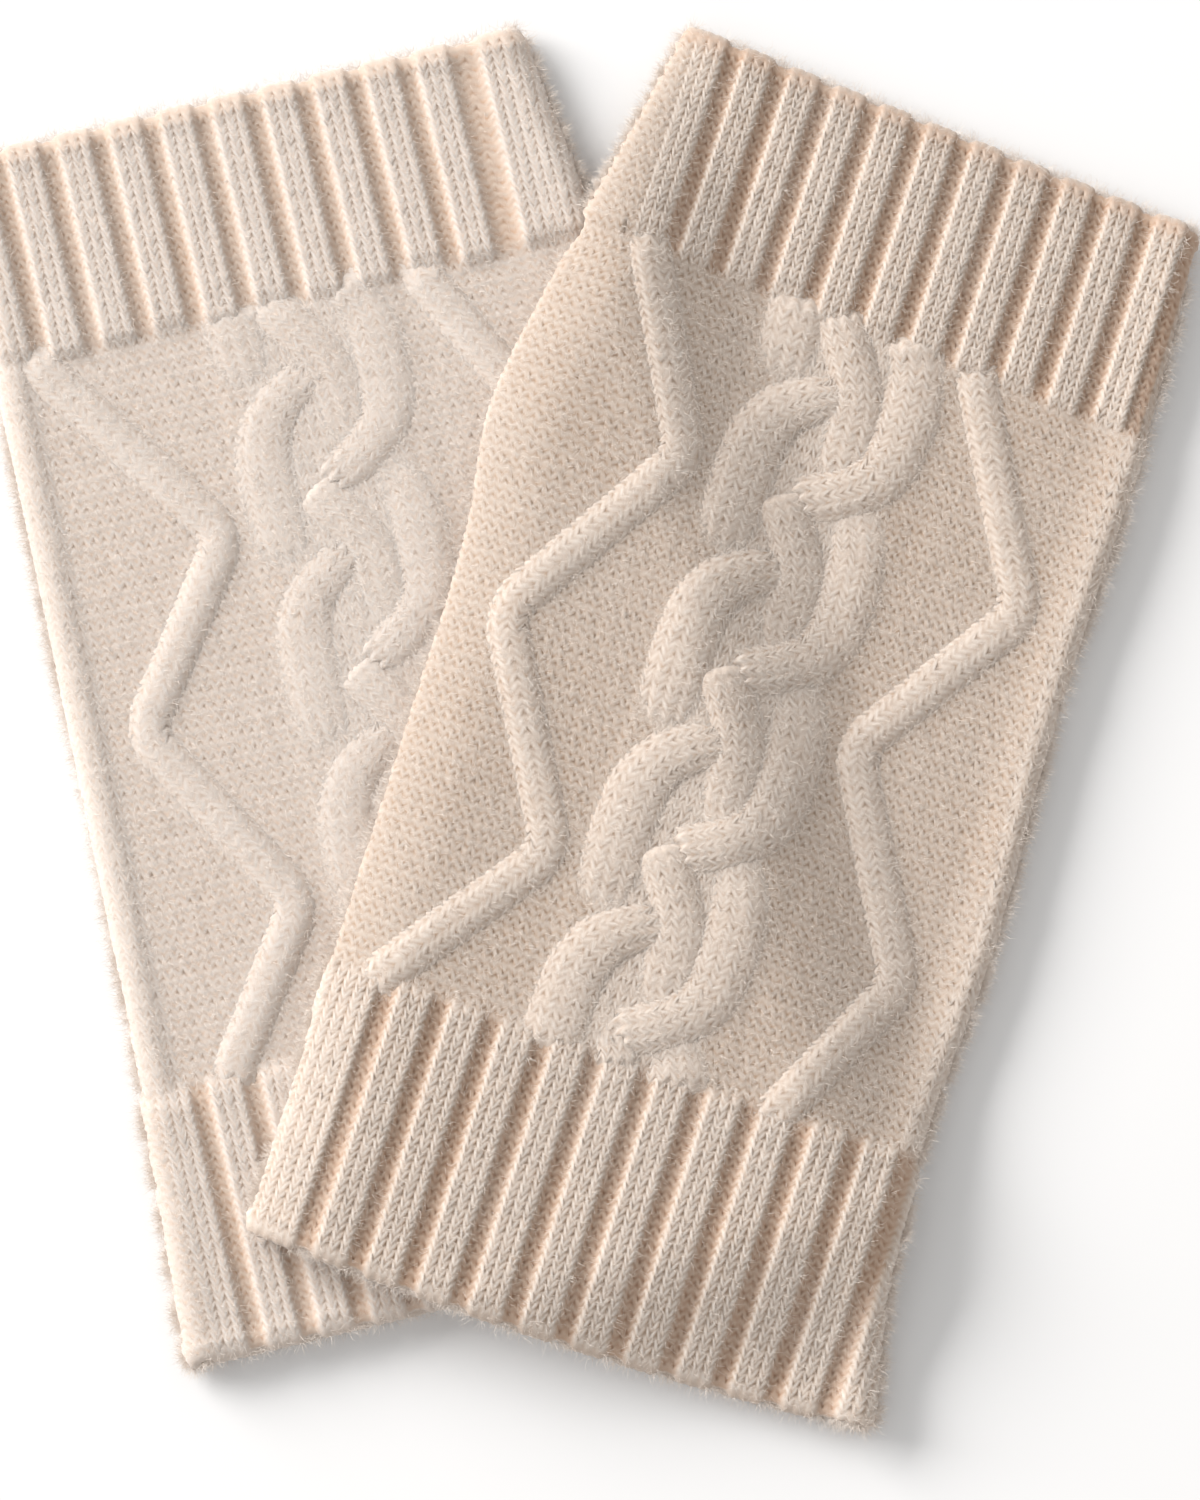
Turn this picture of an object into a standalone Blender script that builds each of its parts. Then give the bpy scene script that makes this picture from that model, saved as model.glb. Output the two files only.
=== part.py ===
"""A pair of knitted wrist warmers, one laid across the other on a table, at real size.

Each warmer is a tube of wool pressed flat: a ribbed cuff at each end, and between them a
body of purl ground with a plaited cable, two zigzag ridges and a rib down one fold. The
front of every tube carries that relief; its inside and its underside are plain.

All sizes are in millimetres. +X is to the right, +Y is away from the viewer, +Z is up, and
the table is z = 0. On a warmer, "along" runs down its length from the top hem, and
"across" runs over its width from the middle, positive to the right.
"""
import math
from dataclasses import dataclass

import bmesh
import bpy
import numpy as np

MM = 0.001

# The cloth
WALL = 1.8
HALF_HOLLOW = 0.3
HALF_TUBE = HALF_HOLLOW + WALL
SIDE_WALL = 2.0
SEAM_GAP = 0.3

# Ribs of three knit stitches parted by two purl stitches
RIB_RISE = 1.4
TROUGH_FLOOR = 1.8
TROUGH_MOUTH = 4.4
TROUGHS = 12
RIB_FADE = 5.0
RIB_END_SHARE = 0.25
HEM_ROUND = 1.4
HEM_SHARE = 0.3

# Zigzag ridges of three travelling stitches
RIDGE_RISE = 1.6
RIDGE_FOOT = 6.0
RIDGE_CROWN = 3.0
RIDGE_BEND = 2.5

# Plait of three ropes, each six stitches wide
ROPE_HALF = 5.6
ROPE_SPACING = 10.0
ROPE_RISE = 1.9
OVER_RISE = 0.4
UNDER_DIP = 1.5
PLAIT_HALF = 16.2
PLAIT_COLUMNS = 16
PLAIT_REPEATS = 4
PLAIT_PITCH = 29.9
FIRST_LEFT_CROSSING = 40.0
FIRST_RIGHT_CROSSING = 59.9
LEFT_CROSSING_HALF = 5.5
RIGHT_CROSSING_HALF = 7.5

# The rib that runs down one fold of each body
FOLD_RIB_RISE = 1.1
FOLD_RIB_SLOPE = 1.6
FOLD_RIB_STEPS = (0.0, 0.25, 0.6, 1.0)

# Where points lie on a fold's rounding, as shares of its reach
ROLL_STEPS = (0.13, 0.5)
INNER_ROLL_STEPS = (0.2, 0.45)
INNER_ROLL_REACH = 0.75

# The least room between points next to a cuff's edge
EDGE_MARGIN = 0.8
KNOT_GAP = 0.3

# How the upper warmer comes down from the lower one to the table
REST_CLEARANCE = 0.35
DRAPE_REACH = 26.0
DRAPE_INSET = 1.0

BODY_ROW_PITCH = 3.1
CUFF_ROW_PITCH = 5.5
INNER_ROW_STEP = 2
FLAT_INNER_ROW_STEP = 8
PLAIN_COLUMN = 7.5

WOOL_ROUGHNESS = 0.95


@dataclass(frozen=True)
class Section:
    """The two edges of a warmer at one place along it."""
    along: float
    left: float
    right: float


@dataclass(frozen=True)
class Turn:
    """A corner of the two zigzag ridges."""
    along: float
    left_ridge: float
    right_ridge: float


@dataclass(frozen=True)
class Ribbing:
    """Where a cuff's first trough lies across the tube, and the pitch from trough to trough."""
    first_trough: float
    pitch: float


@dataclass(frozen=True)
class Fold:
    """A side of the tube: how far its roundness reaches in, its swell, and its rib's width."""
    roll: float
    swell: float
    rib_width: float


@dataclass(frozen=True)
class Warmer:
    """One warmer: where its top hem's middle lies, how it leans, and its tables of sizes."""
    name: str
    origin: tuple
    lean: float
    length: float
    top_seam: float
    bottom_seam: float
    top_tilt: float
    bottom_bow: float
    sections: tuple
    turns: tuple
    plait_top: float
    plait_bottom: float
    top_ribs: Ribbing
    bottom_ribs: Ribbing
    left_fold: Fold
    right_fold: Fold
    colour: tuple


LOWER = Warmer(
    name="lower", origin=(-56.72, 100.64), lean=13.44, length=196.0,
    top_seam=34.8, bottom_seam=153.6, top_tilt=0.0, bottom_bow=0.0,
    sections=(
        Section(along=0, left=-43.5, right=47.6),
        Section(along=12, left=-44.8, right=49.2),
        Section(along=32, left=-46.8, right=51.8),
        Section(along=60, left=-47.7, right=51.6),
        Section(along=100, left=-48.4, right=50.6),
        Section(along=146, left=-49.7, right=50.0),
        Section(along=170, left=-50.8, right=50.2),
        Section(along=196, left=-52.3, right=51.0),
    ),
    turns=(
        Turn(along=34, left_ridge=-41.0, right_ridge=22.6),
        Turn(along=69, left_ridge=-17.0, right_ridge=40.0),
        Turn(along=97, left_ridge=-37.0, right_ridge=23.5),
        Turn(along=129, left_ridge=-18.7, right_ridge=39.0),
        Turn(along=154, left_ridge=-36.0, right_ridge=24.0),
    ),
    plait_top=3.4, plait_bottom=2.0,
    top_ribs=Ribbing(first_trough=-47.6, pitch=8.475),
    bottom_ribs=Ribbing(first_trough=-49.6, pitch=8.5),
    left_fold=Fold(roll=4.0, swell=0.3, rib_width=6.2),
    right_fold=Fold(roll=4.0, swell=0.3, rib_width=0.0),
    colour=(0.80, 0.69, 0.58, 1.0),
)

UPPER = Warmer(
    name="upper", origin=(58.28, 95.04), lean=-17.82, length=201.0,
    top_seam=35.0, bottom_seam=158.0, top_tilt=0.078, bottom_bow=2.0,
    sections=(
        Section(along=0, left=-44.4, right=44.2),
        Section(along=25, left=-48.7, right=45.8),
        Section(along=48, left=-53.4, right=46.0),
        Section(along=69, left=-56.0, right=45.4),
        Section(along=86, left=-53.6, right=45.5),
        Section(along=121, left=-52.8, right=47.0),
        Section(along=158, left=-52.4, right=45.6),
        Section(along=180, left=-51.2, right=46.9),
        Section(along=201, left=-51.6, right=51.2),
    ),
    turns=(
        Turn(along=34, left_ridge=-40.6, right_ridge=17.0),
        Turn(along=65, left_ridge=-22.6, right_ridge=35.6),
        Turn(along=96, left_ridge=-44.8, right_ridge=15.4),
        Turn(along=131, left_ridge=-25.4, right_ridge=34.6),
        Turn(along=160, left_ridge=-45.6, right_ridge=19.4),
    ),
    plait_top=-1.6, plait_bottom=-4.6,
    top_ribs=Ribbing(first_trough=-44.0, pitch=7.93),
    bottom_ribs=Ribbing(first_trough=-50.8, pitch=8.59),
    left_fold=Fold(roll=9.0, swell=1.4, rib_width=0.0),
    right_fold=Fold(roll=4.0, swell=0.3, rib_width=3.6),
    colour=(0.82, 0.71, 0.60, 1.0),
)


def smooth(share):
    """Rises gently from 0 to 1 as share goes from 0 to 1."""
    share = min(1.0, max(0.0, share))
    return share * share * (3.0 - 2.0 * share)


def curve_through(places, values, place):
    """Reads a smooth curve through the given places and values."""
    slopes = np.gradient(values, places)
    i = min(max(int(np.searchsorted(places, place)) - 1, 0), len(places) - 2)
    span = places[i + 1] - places[i]
    u = min(1.0, max(0.0, (place - places[i]) / span))
    rise = values[i + 1] - values[i]
    ease = u * u * (3.0 - 2.0 * u)
    start = slopes[i] * span * u * (1.0 - u) ** 2
    end = slopes[i + 1] * span * u * u * (u - 1.0)
    return values[i] + rise * ease + start + end


def edges(warmer, along):
    """The left and right edges of a warmer at one place along it."""
    places = [section.along for section in warmer.sections]
    left = curve_through(places, [section.left for section in warmer.sections], along)
    right = curve_through(places, [section.right for section in warmer.sections], along)
    return left, right


def ridge_middles(warmer, along):
    """Where the left and right zigzag ridges lie across the warmer."""
    places = [turn.along for turn in warmer.turns]
    near = [along - RIDGE_BEND, along, along + RIDGE_BEND]
    left = float(np.mean(np.interp(near, places, [turn.left_ridge for turn in warmer.turns])))
    right = float(np.mean(np.interp(near, places, [turn.right_ridge for turn in warmer.turns])))
    return left, right


def rope_tracks():
    """The crossings each rope of the plait makes: place, half length, from, to and lift."""
    slots = {"left": [], "middle": [], "right": []}
    starts = {"left": -ROPE_SPACING, "middle": 0.0, "right": ROPE_SPACING}
    ropes = [(starts[name], slots[name]) for name in slots]
    crossings = []
    for repeat in range(PLAIT_REPEATS):
        shift = repeat * PLAIT_PITCH
        crossings.append((FIRST_LEFT_CROSSING + shift, LEFT_CROSSING_HALF, "left"))
        crossings.append((FIRST_RIGHT_CROSSING + shift, RIGHT_CROSSING_HALF, "right"))
    for place, half, side in sorted(crossings):
        over, under = slots[side], slots["middle"]
        over.append((place, half, starts[side], 0.0, OVER_RISE))
        under.append((place, half, 0.0, starts[side], -UNDER_DIP))
        slots[side], slots["middle"] = under, over
    return ropes


ROPES = rope_tracks()


def plait_height(across, along):
    """The height of the plait over the ground, across measured from its middle line."""
    height = 0.0
    for start, crossings in ROPES:
        middle, slope, crest = start, 0.0, ROPE_RISE
        for place, half, origin, target, lift in crossings:
            share = (along - place + half) / (2.0 * half)
            if share > 0.0:
                middle = origin + (target - origin) * smooth(share)
            if 0.0 < share < 1.0:
                slope = (target - origin) * 6.0 * share * (1.0 - share) / (2.0 * half)
                crest = ROPE_RISE + lift * math.sin(math.pi * share)
        off = abs(across - middle) / math.hypot(1.0, slope) / ROPE_HALF
        if off < 1.0:
            height = max(height, crest * math.sqrt(1.0 - off * off))
    return height


PLAIT_CREST = ROPE_RISE + OVER_RISE
REST_HEIGHT = 2.0 * HALF_TUBE + PLAIT_CREST + REST_CLEARANCE


def directions(warmer):
    """Unit vectors along and across a warmer, on the table."""
    lean = math.radians(warmer.lean)
    down = (math.sin(lean), -math.cos(lean))
    over = (math.cos(lean), math.sin(lean))
    return down, over


def on_table(warmer, along, across):
    """The point of the table at a place along and across a warmer."""
    down, over = directions(warmer)
    left, right = edges(warmer, along)
    from_middle = (2.0 * across - left - right) / (right - left)
    reached = along / warmer.length
    along += warmer.top_tilt * (1.0 - reached) * across
    along += warmer.bottom_bow * reached ** 4 * (1.0 - from_middle ** 2)
    x = warmer.origin[0] + along * down[0] + across * over[0]
    y = warmer.origin[1] + along * down[1] + across * over[1]
    return x, y


def support_height(warmer, x, y):
    """How high the underside of a warmer lies: on the table, or over the lower warmer."""
    if warmer is LOWER:
        return 0.0
    down, over = directions(LOWER)
    dx, dy = x - LOWER.origin[0], y - LOWER.origin[1]
    along, across = dx * down[0] + dy * down[1], dx * over[0] + dy * over[1]
    inside_right = edges(LOWER, along)[1] - across
    inside_hem = LOWER.length - along
    span = DRAPE_REACH + DRAPE_INSET
    held = smooth((inside_right + DRAPE_REACH) / span) * smooth((inside_hem + DRAPE_REACH) / span)
    return REST_HEIGHT * held


def tube_point(warmer, along, across, side, rise=0.0, inner=False):
    """A point of the tube, side 1 on its front and -1 on its back, as x, y and z."""
    left, right = edges(warmer, along)
    near_left = across - left < right - across
    fold = warmer.left_fold if near_left else warmer.right_fold
    depth = max(0.0, min(across - left, right - across))
    swell = fold.swell * math.exp(-(depth / fold.roll) ** 2)
    half = HALF_TUBE + swell
    outward = -1.0 if near_left else 1.0
    reach = fold.roll
    height = half
    start = 0.0
    if inner:
        start, reach, height = SIDE_WALL, fold.roll * INNER_ROLL_REACH, HALF_HOLLOW + swell
    share = min(1.0, max(0.0, depth - start) / reach)
    cosine = 1.0 - share
    sine = math.sqrt(1.0 - cosine * cosine)
    lean = math.hypot(half * cosine, reach * sine)
    placed = across + rise * outward * half * cosine / lean
    x, y = on_table(warmer, along, placed)
    middle = support_height(warmer, x, y) + half
    z = middle + side * (height * sine + rise * reach * sine / lean)
    return x, y, z


def fold_knots(warmer, along):
    """Front points, as across and rise, over the left fold and over the right fold."""
    knots = []
    for edge, inward, fold in zip(edges(warmer, along), (1, -1), (warmer.left_fold, warmer.right_fold)):
        width = fold.rib_width
        if width:
            steps = [(share * width, FOLD_RIB_RISE) for share in FOLD_RIB_STEPS]
            steps.append((width + FOLD_RIB_SLOPE, 0.0))
        else:
            steps = [(share * fold.roll, 0.0) for share in (0.0, *ROLL_STEPS, 1.0)]
        knots.append([(edge + inward * step, rise) for step, rise in steps])
    return knots[0], knots[1][::-1]


def body_knots(warmer, along):
    """Front points of the body, as across and rise, from the left edge to the right edge."""
    left_fold, right_fold = fold_knots(warmer, along)
    reached = along / warmer.length
    plait = warmer.plait_top + (warmer.plait_bottom - warmer.plait_top) * reached
    ridges = []
    for middle in ridge_middles(warmer, along):
        ridges.append([(middle + RIDGE_FOOT * k, rise) for k, rise in
                       ((-0.5, 0.0), (-0.5 * RIDGE_CROWN / RIDGE_FOOT, RIDGE_RISE),
                        (0.5 * RIDGE_CROWN / RIDGE_FOOT, RIDGE_RISE), (0.5, 0.0))])
    columns = np.linspace(-PLAIT_HALF, PLAIT_HALF, PLAIT_COLUMNS)
    ropes = [(plait + column, plait_height(column, along)) for column in columns]
    ropes[0], ropes[-1] = (ropes[0][0], 0.0), (ropes[-1][0], 0.0)
    gap_left = 0.5 * (left_fold[-1][0] + ridges[0][0][0])
    gap_right = 0.5 * (ridges[1][-1][0] + right_fold[0][0])
    return (left_fold + [(gap_left, 0.0)] + ridges[0] + ropes + ridges[1]
            + [(gap_right, 0.0)] + right_fold)


def cuff_knots(warmer, along):
    """Front points of a cuff, as across and rise, from the left edge to the right edge."""
    left, right = edges(warmer, along)
    if along <= warmer.top_seam:
        ribs = warmer.top_ribs
        from_hem, from_seam = along, warmer.top_seam - along
    else:
        ribs = warmer.bottom_ribs
        from_hem, from_seam = warmer.length - along, along - warmer.bottom_seam
    share = HEM_SHARE + (1.0 - HEM_SHARE) * smooth(from_hem / (2.0 * HEM_ROUND))
    share *= RIB_END_SHARE + (1.0 - RIB_END_SHARE) * smooth(from_seam / RIB_FADE)
    rise = RIB_RISE * share
    knots = []
    for trough in range(TROUGHS):
        middle = ribs.first_trough + trough * ribs.pitch
        floor, mouth = 0.5 * TROUGH_FLOOR, 0.5 * TROUGH_MOUTH
        knots += [(middle - mouth, rise), (middle - floor, 0.0), (middle + floor, 0.0), (middle + mouth, rise)]
    knots = [(left, rise)] + knots[2:-2] + [(right, rise)]
    lowest, highest = left + EDGE_MARGIN, right - EDGE_MARGIN
    count = len(knots) - 2
    placed = []
    for i, (across, height) in enumerate(knots[1:-1]):
        across = max(across, lowest + KNOT_GAP * i)
        across = min(across, highest - KNOT_GAP * (count - 1 - i))
        placed.append((across, height))
    return [knots[0]] + placed + [knots[-1]]


def back_places(warmer, along):
    """Across places of the plain back, from the right edge to the left edge, both left out."""
    left, right = edges(warmer, along)
    inside_left, inside_right = left + warmer.left_fold.roll, right - warmer.right_fold.roll
    count = max(2, round((warmer.sections[-1].right - warmer.sections[-1].left) / PLAIN_COLUMN))
    flat = list(np.linspace(inside_right, inside_left, count))
    right_roll = [right - warmer.right_fold.roll * share for share in ROLL_STEPS]
    left_roll = [left + warmer.left_fold.roll * share for share in ROLL_STEPS[::-1]]
    return right_roll + flat + left_roll


def outer_ring(warmer, along, knots_at):
    """The points round the outside of the tube, in order from the left edge over the front."""
    ring = [tube_point(warmer, along, across, 1, rise) for across, rise in knots_at(warmer, along)]
    ring += [tube_point(warmer, along, across, -1) for across in back_places(warmer, along)]
    return ring


def inner_ring(warmer, along):
    """The points round the inside of the tube, in the same order, plain on both sides."""
    left, right = edges(warmer, along)
    left_in, right_in = left + SIDE_WALL, right - SIDE_WALL
    places = [left_in] + back_places(warmer, along)[::-1] + [right_in]
    places = [min(max(place, left_in), right_in) for place in places]
    for i, share in enumerate(INNER_ROLL_STEPS, start=1):
        places[i] = left_in + share * warmer.left_fold.roll
        places[-1 - i] = right_in - share * warmer.right_fold.roll
    front = [tube_point(warmer, along, place, 1, inner=True) for place in places]
    back = [tube_point(warmer, along, place, -1, inner=True) for place in places[-2:0:-1]]
    return front + back


def row_places(start, end, pitch, first_step):
    """Places along a stretch of tube, closer together at its start and its end."""
    count = max(2, round((end - start - 2.0 * first_step) / pitch))
    return [start] + list(np.linspace(start + first_step, end - first_step, count + 1)) + [end]


def add_rows(mesh, rings, flip):
    """Joins neighbouring rings with faces and returns their corners."""
    rows = [[mesh.verts.new([value * MM for value in point]) for point in ring] for ring in rings]
    for upper, lower in zip(rows, rows[1:]):
        for i in range(len(upper)):
            j = (i + 1) % len(upper)
            corners = [upper[i], upper[j], lower[j], lower[i]]
            mesh.faces.new(corners[::-1] if flip else corners)
    return rows


def make_stretch(warmer, label, start, end, knots_at, pitch):
    """Builds one stretch of tube, closed round its wall, as a named object."""
    places = row_places(start, end, pitch, HEM_ROUND)
    inner_step = FLAT_INNER_ROW_STEP if warmer is LOWER else INNER_ROW_STEP
    inner_places = sorted(set(places[::inner_step] + [places[-1]]))
    mesh = bmesh.new()
    outer = add_rows(mesh, [outer_ring(warmer, along, knots_at) for along in places], flip=True)
    inner = add_rows(mesh, [inner_ring(warmer, along) for along in inner_places], flip=False)
    for out_row, in_row in ((outer[0], inner[0]), (outer[-1], inner[-1])):
        close_end(mesh, out_row, in_row)
    bmesh.ops.triangulate(mesh, faces=mesh.faces[:], quad_method="BEAUTY", ngon_method="BEAUTY")
    bmesh.ops.recalc_face_normals(mesh, faces=mesh.faces[:])
    data = bpy.data.meshes.new(f"{warmer.name}_{label}")
    mesh.to_mesh(data)
    mesh.free()
    data.materials.append(wool(f"{warmer.name}_{label}_wool", warmer.colour))
    piece = bpy.data.objects.new(data.name, data)
    bpy.context.scene.collection.objects.link(piece)
    return piece


def close_end(mesh, out_row, in_row):
    """Closes a tube's end between its outer and inner ring, with one face per inner step."""
    matches = facing_columns(out_row, in_row)
    for i in range(len(in_row)):
        j = (i + 1) % len(in_row)
        last = matches[j] if j else len(out_row)
        outside = [out_row[k % len(out_row)] for k in range(matches[i], last + 1)]
        mesh.faces.new(outside + [in_row[j], in_row[i]])


def facing_columns(out_row, in_row):
    """For each inner point, the outer point that faces it, in the same order round the tube."""
    right_inner = len(in_row) // 2
    right_outer = len(out_row) - right_inner
    matches = [0]
    for i in range(1, right_inner):
        choices = range(matches[-1] + 1, right_outer - (right_inner - i) + 1)
        place = in_row[i].co.xy
        matches.append(min(choices, key=lambda k: (out_row[k].co.xy - place).length))
    return matches + list(range(right_outer, len(out_row)))


def wool(name, colour):
    """A matt wool of one colour."""
    material = bpy.data.materials.new(name)
    material.use_nodes = True
    shader = material.node_tree.nodes["Principled BSDF"]
    shader.inputs["Base Color"].default_value = colour
    shader.inputs["Roughness"].default_value = WOOL_ROUGHNESS
    shader.inputs["Metallic"].default_value = 0.0
    return material


def make_warmer(warmer):
    """Builds a warmer's two cuffs and its body, 0.3 mm apart at the seams."""
    gap = 0.5 * SEAM_GAP
    top, bottom = warmer.top_seam, warmer.bottom_seam
    make_stretch(warmer, "top_cuff", 0.0, top - gap, cuff_knots, CUFF_ROW_PITCH)
    make_stretch(warmer, "body", top + gap, bottom - gap, body_knots, BODY_ROW_PITCH)
    make_stretch(warmer, "bottom_cuff", bottom + gap, warmer.length, cuff_knots, CUFF_ROW_PITCH)


def main():
    """Clears the scene and builds the pair."""
    for piece in list(bpy.data.objects):
        bpy.data.objects.remove(piece, do_unlink=True)
    make_warmer(LOWER)
    make_warmer(UPPER)


main()
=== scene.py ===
"""The looks of a pair of knitted wrist warmers, one laid across the other on a pale table.

Each warmer is one knitted tube whose every stitch on the front is modelled: V stitches on the
ribs, wavy bars on the purl ground. Three ropes cross over each other down its middle, a zigzag
ridge runs on either side of them, and loose fibres stand off the wool all over.

Sizes are in millimetres until a mesh is made. +X is to the right, +Y is away from the viewer
and +Z is up. On a warmer, "along" runs down from the top hem and "across" over its width. A
"wale" is one column of stitches, counted round the tube, and a "course" is one row of them.
"""
import logging
import math
from dataclasses import dataclass
from enum import Enum
from typing import Any, Optional, Union

import bpy
import numpy as np
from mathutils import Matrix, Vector


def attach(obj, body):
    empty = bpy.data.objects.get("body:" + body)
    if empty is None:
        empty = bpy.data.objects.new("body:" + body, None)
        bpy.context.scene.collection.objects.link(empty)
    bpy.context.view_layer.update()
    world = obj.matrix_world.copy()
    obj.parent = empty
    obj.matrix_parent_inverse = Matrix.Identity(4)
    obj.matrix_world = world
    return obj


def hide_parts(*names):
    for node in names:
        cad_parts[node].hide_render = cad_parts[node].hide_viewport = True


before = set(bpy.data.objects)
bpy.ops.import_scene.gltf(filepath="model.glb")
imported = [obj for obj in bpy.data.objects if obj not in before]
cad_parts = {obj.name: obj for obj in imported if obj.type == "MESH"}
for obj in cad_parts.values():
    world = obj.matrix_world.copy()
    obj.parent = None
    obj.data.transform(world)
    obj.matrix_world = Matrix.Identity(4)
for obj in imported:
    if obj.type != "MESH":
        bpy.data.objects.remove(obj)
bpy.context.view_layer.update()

Array = np.ndarray
Triple = tuple[float, float, float]
Four = tuple[float, float, float, float]
Mesh = bpy.types.Mesh
Material = bpy.types.Material
Piece = bpy.types.Object

LOG = logging.getLogger("wrist_warmers")
MM = 0.001
TINY = 1e-9

# The tube's wall and hollow, as the solids have them
WALL = 1.8
HALF_HOLLOW = 0.3
HALF_TUBE = HALF_HOLLOW + WALL
SIDE_WALL = 2.0
INNER_ROLL_REACH = 0.75
BOW_POWER = 4
TABLE_GAP = 0.05

# The plait and the ridges' corners, as the solids have them
PLAIT_CREST = 2.3
PLAIT_REPEATS = 4
PLAIT_PITCH = 29.9
FIRST_LEFT_CROSSING = 40.0
RIDGE_BEND = 2.6

# How the upper warmer comes down from the lower one to the table
REST_CLEARANCE = 0.35
REST_HEIGHT = 2.0 * HALF_TUBE + PLAIT_CREST + REST_CLEARANCE
DRAPE_REACH = 26.0
DRAPE_INSET = 1.0
EDGE_DROOP = 0.28
EDGE_DROOP_REACH = 8.5

# Stitches: a wale has four columns of points, and a course has two rows
FRONT_WALES = 60
RING_WALES = 120
COLUMNS_PER_WALE = 4
ROWS_PER_COURSE = 2
COURSE = 1.36
LEAD_JITTER = 0.07
HEIGHT_JITTER = 0.04
PLACE_JITTER = 0.04
YARN_DEPTH = 0.28
YARN_RANGE = 0.5
WAY_POINTS = 1200

# A rib and its trough: the two wales that share a trough are narrow
RIB_WALES = 5
HALF_RIB = 0.5 * RIB_WALES
TROUGH_WALES = 2.0
TROUGH_SHARE = 0.18
WALE_STEPS = (0.0, 1.0, RIB_WALES - 1.0, RIB_WALES)
PLACE_STEPS = (0.0, TROUGH_SHARE, 1.0 - TROUGH_SHARE, 1.0)
TO_EITHER_SIDE = (-0.01, 0.01)

# What a mesh's layers are called, and the shade of its plain parts: mid yarn height, a little
# painted trough shade, no V stitches
STITCH_LAYER = "Stitches"
SHADE_LAYER = "Shade"
PLAIN_SHADE = (0.6, 0.2, 0.0)


class Stitch(Enum):
    """How a stitch shows its yarn on the outside: as a V, or as a wavy bar.

    A loose V is one of a rope or a ridge, and the other is one of a rib.
    """
    KNIT = "knit"
    LOOSE_KNIT = "loose knit"
    PURL = "purl"


@dataclass(frozen=True)
class StitchForm:
    """A stitch's relief at its wale's four columns.

    Attributes:
        lead: How far down the four columns are shifted.
        crest: Their heights over the yarn.
        crevice: Their heights between two courses.
        next_crevice: The same at every other course.
    """
    lead: Four
    crest: Four
    crevice: Four
    next_crevice: Four

    def height(self, phase: Array, row: Array) -> Array:
        """The height of each column at each row, two rows to a course."""
        kinds = np.array([self.crevice, self.crest, self.next_crevice, self.crest])
        return kinds[row % len(kinds), phase]


FORMS = {
    Stitch.KNIT: StitchForm(
        lead=(-0.76, 0.0, 0.76, 0.0),
        crest=(-0.10, 0.20, 0.08, 0.20),
        crevice=(-0.40, -0.06, -0.16, -0.06),
        next_crevice=(-0.40, -0.06, -0.16, -0.06),
    ),
    Stitch.LOOSE_KNIT: StitchForm(
        lead=(-0.7, 0.0, 0.7, 0.0),
        crest=(0.0, 0.14, 0.06, 0.14),
        crevice=(-0.26, -0.04, -0.08, -0.04),
        next_crevice=(-0.10, -0.04, -0.22, -0.04),
    ),
    Stitch.PURL: StitchForm(
        lead=(-0.34, 0.0, 0.34, 0.0),
        crest=(0.13, 0.10, 0.16, 0.10),
        crevice=(-0.36, -0.12, -0.10, -0.12),
        next_crevice=(-0.10, -0.12, -0.36, -0.12),
    ),
}


def share_of(value: Array) -> Array:
    """Cuts a value off at 0 and at 1."""
    return np.clip(value, 0.0, 1.0)


def smooth(share: Array) -> Array:
    """Rises gently from 0 to 1 as share goes from 0 to 1."""
    share = share_of(share)
    return share * share * (3.0 - 2.0 * share)


def blend(start: Array, end: Array, share: Array) -> Array:
    """Goes from start to end as share goes from 0 to 1."""
    return start + (end - start) * share


def bell(distance: Array) -> Array:
    """Falls gently from 1 as the distance grows either way."""
    return np.exp(-distance ** 2)


def curve_through(places: Array, values: Array, place: Array) -> Array:
    """Reads a smooth curve.

    Args:
        places: Where the curve's values are given, in rising order.
        values: The values there.
        place: Where to read the curve.

    Returns:
        The curve's value at each place.
    """
    slopes = np.gradient(values, places)
    i = np.clip(np.searchsorted(places, place) - 1, 0, len(places) - 2)
    span = places[i + 1] - places[i]
    u = share_of((place - places[i]) / span)
    start = slopes[i] * span * u * (1.0 - u) ** 2
    end = slopes[i + 1] * span * u * u * (u - 1.0)
    return blend(values[i], values[i + 1], smooth(u)) + start + end


def path_lengths(path: Array) -> Array:
    """How far along a path each of its points lies, from its first two columns."""
    steps = np.hypot(np.diff(path[:, 0]), np.diff(path[:, 1]))
    return np.concatenate([[0.0], np.cumsum(steps)])


def yarn_shade(height: Array) -> Array:
    """How high the yarn stands at each height, 0 between stitches and 1 on top."""
    return share_of((height + YARN_DEPTH) / YARN_RANGE)


@dataclass(frozen=True)
class Section:
    """The two edges of a warmer at one place along it."""
    along: float
    left: float
    right: float


@dataclass(frozen=True)
class Turn:
    """A corner of the two zigzag ridges: the right one may turn a little farther down."""
    along: float
    left_ridge: float
    right_ridge: float
    right_lag: float = 0.0


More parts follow.
